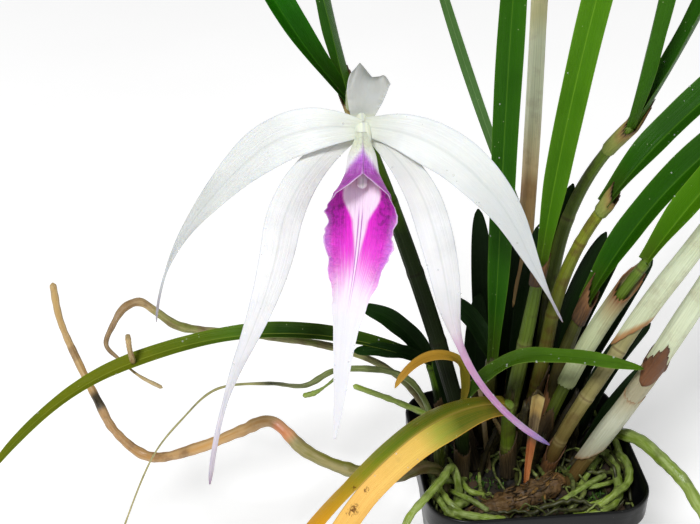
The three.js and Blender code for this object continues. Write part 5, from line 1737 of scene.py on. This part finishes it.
def buildRhizome():
    # radius + swell sin(pi t) + a low step at each scale + lumps, and slivers of old scale lying along it
    rows = rhizome["rows"]
    points, tangents = growthPath(rhizome, rows)
    t = shares(rows)
    share = (t * rhizome["scales"] + 0.35 * np.sin(11 * t)) % 1
    length = rhizome["length"]
    radius = rhizome["radius"] + rhizome["swell"] * np.sin(np.pi * t) + rhizome["step"] * share**2
    radius = roundEnds(t, length, radius + 0.4 * waviness(t[:, None] * length, 8, 9))
    rings = tubeRings(points, tangents, radius, 48)
    lumps = waviness(rings, 12, 7.0)[:, :, None] + 0.5 * waviness(rings, 13, 2.5)[:, :, None]
    rings = rings + (rings - points[:, None, :]) * 0.09 * lumps
    stops = [(0.0, "#261c0b"), (0.3, "#4f3718"), (0.7, "#33230f"), (1.0, "#6d4c26")]
    mesh = makeSkin("rhizome_scales", rings, torn=(share**6)[:, None] * 0.7)
    place(mesh, paperMaterial("rhizome scales", stops, "#8a6a38", "#1c1006"), "rhizome", "rhizome")
    random = np.random.default_rng(19)
    count = rhizome["fibres"]
    row = random.integers(4, rows - 20, count)
    turn = random.uniform(-1.9, 1.9, count)
    side, front = carriedFrames(tangents)
    up = unit(np.cross(side, np.cross([0, 0, 1.0], side)))
    level = np.cross(tangents, up)
    out = up[row] * np.cos(turn)[:, None] + level[row] * np.sin(turn)[:, None]
    lean = tangents[row] * random.choice([-1, 1], (count, 1)) + out * 0.12
    lean = unit(lean + random.normal(0, 0.22, (count, 3)))
    centres = points[row] + out * (radius[row] * 0.98)[:, None]
    size = random.uniform(*rhizome["fibreLength"], (count, 1))
    turns = standOn(lean, random.uniform(0, 6.28, count))
    tone = random.uniform(0, 1, count) ** 2
    fibres = makeCrowd("rhizome_fibres", sliverShape(0.1), centres, turns, size, tone=tone)
    place(fibres, strandMaterial("rhizome fibres", "#241808", "#8a6834"), "rhizome")


buildRoots()
buildRhizome()
print("roots built")


# Dry bract and stalk

bract = {
    "foot": (-1, -12, 73), "heading": (-36, -36), "rise": (89, 86), "length": 53, "width": 11,
    "facing": (262, 0), "fold": 62, "wave": 0.4, "waves": 2,
}
stalk = {
    "route": [(-13, 3, 73), (-16, 1, 95), (-20, 0, 120), (-34, -4, 152)], "radius": (1.2, 0.7), "length": 84,
}


def buildDryPieces():
    path = growthPath(bract, 60)
    t = shares(60)[:, None]
    rings, across, under = bladeRings(path, bract, bract["width"] * (0.3 + 0.7 * t), 0.7, 16, crinkle=0.1)
    stops = [
        (0.0, "#d8823a"), (0.5, "#c9703a"), (0.58, "#2a160c"), (0.76, "#3a2410"), (0.83, "#a88c4c"),
        (1.0, "#c0b070"),
    ]
    mesh = makeSkin("dry_bract_paper", rings, across, under=under, torn=smooth(t, 0.97, 1.0))
    place(mesh, paperMaterial("dry bract", stops, "#e0c890", "#4a2c14"), "dry_tissue", "dry_bract")
    points, tangents = routePath(stalk["route"], 80)
    t = shares(80)
    radius = roundEnds(t, stalk["length"], spread(stalk["radius"], t))
    rings = tubeRings(points, tangents, radius, 14, grooves=0.2, grooveCount=2)
    stops = [(0.0, "#6a5430"), (0.5, "#a8926a"), (1.0, "#8a7450")]
    mesh = makeSkin("dry_stalk_fibre", rings, torn=np.zeros(1))
    place(mesh, paperMaterial("dry stalk", stops, "#c9b88e", "#3a2a14"), "dry_tissue", "dry_stalk")


buildDryPieces()


# Drops of water on the petals and leaves

drops = {
    "petal_left": 14, "petal_right": 14, "sepal_left": 18, "sepal_right": 12, "lip": 8,
    "leaf_small_green": 14, "leaf_06": 18, "leaf_07": 20, "leaf_08": 14, "leaf_05_right": 10,
    "leaf_long_arching": 10, "leaf_yellow": 8, "leaf_02": 8, "leaf_04": 8,
}
dropRadius = (0.18, 0.5)


def buildDrops():
    # flattened balls, half sunk in the upper face of a blade at seeded places, most of them near a margin
    random = np.random.default_rng(7)
    spots, normals = [], []
    for name, count in drops.items():
        upper, outward = faces[name]
        row = random.uniform(0.05, 0.9, count) * (upper.shape[0] - 1)
        toMargin = 0.04 + np.abs(random.normal(0, 0.2, count)) % 0.45
        across = np.where(random.random(count) < 0.5, toMargin, 1 - toMargin) * (upper.shape[1] - 1)
        row, across = row.astype(int), across.astype(int)
        spots.append(upper[row, across])
        normals.append(outward[row, across])
    spots, normals = np.vstack(spots), np.vstack(normals)
    count = len(spots)
    size = random.uniform(*dropRadius, (count, 1)) * np.array([[1, 1, 0.6]])
    turns = standOn(normals, random.uniform(0, 6.28, count))
    mesh = makeCrowd("water_drops", ballShape(6, 10), spots, turns, size)
    place(mesh, dropMaterial("water"), "white_petal")


buildDrops()
print("drops placed")


# Floor and light

def buildStage():
    bpy.ops.mesh.primitive_plane_add(size=6, location=(0, 0, 0))
    floor = bpy.context.object
    floor.name = "floor"
    material, tree = newMaterial("pale floor", specular=0.2)
    tone = blend(fade(noise(objectPlace(tree), 3.0), 0.3, 0.7), "#f6f6f6", "#fafafa")
    glow = {"Emission Color": (1, 1, 1, 1), "Emission Strength": 0.3}
    setShader(material, {"Base Color": tone, "Roughness": 0.7, **glow})
    floor.data.materials.append(material)
    world = bpy.data.worlds.new("soft daylight")
    world.use_nodes = True
    world.node_tree.nodes["Background"].inputs["Color"].default_value = (1, 1, 1, 1)
    world.node_tree.nodes["Background"].inputs["Strength"].default_value = 0.27
    bpy.context.scene.world = world
    lamps = {
        "key": {"at": (-0.9, -1.7, 2.3), "size": 0.5, "power": 70},
        "fill": {"at": (1.6, -1.0, 1.6), "size": 1.4, "power": 9},
    }
    middle = np.array([0.0, 0.0, 0.16])
    for name, lamp in lamps.items():
        light = bpy.data.lights.new(name, "AREA")
        light.size = lamp["size"]
        light.energy = lamp["power"]
        item = bpy.data.objects.new(name, light)
        item.location = lamp["at"]
        away = np.array(lamp["at"]) - middle
        flat = np.hypot(away[0], away[1])
        item.rotation_euler = (np.arctan2(flat, away[2]), 0, np.arctan2(away[0], -away[1]))
        bpy.context.scene.collection.objects.link(item)


buildStage()
bpy.context.scene.view_settings.view_transform = "Standard"
print("stage set")
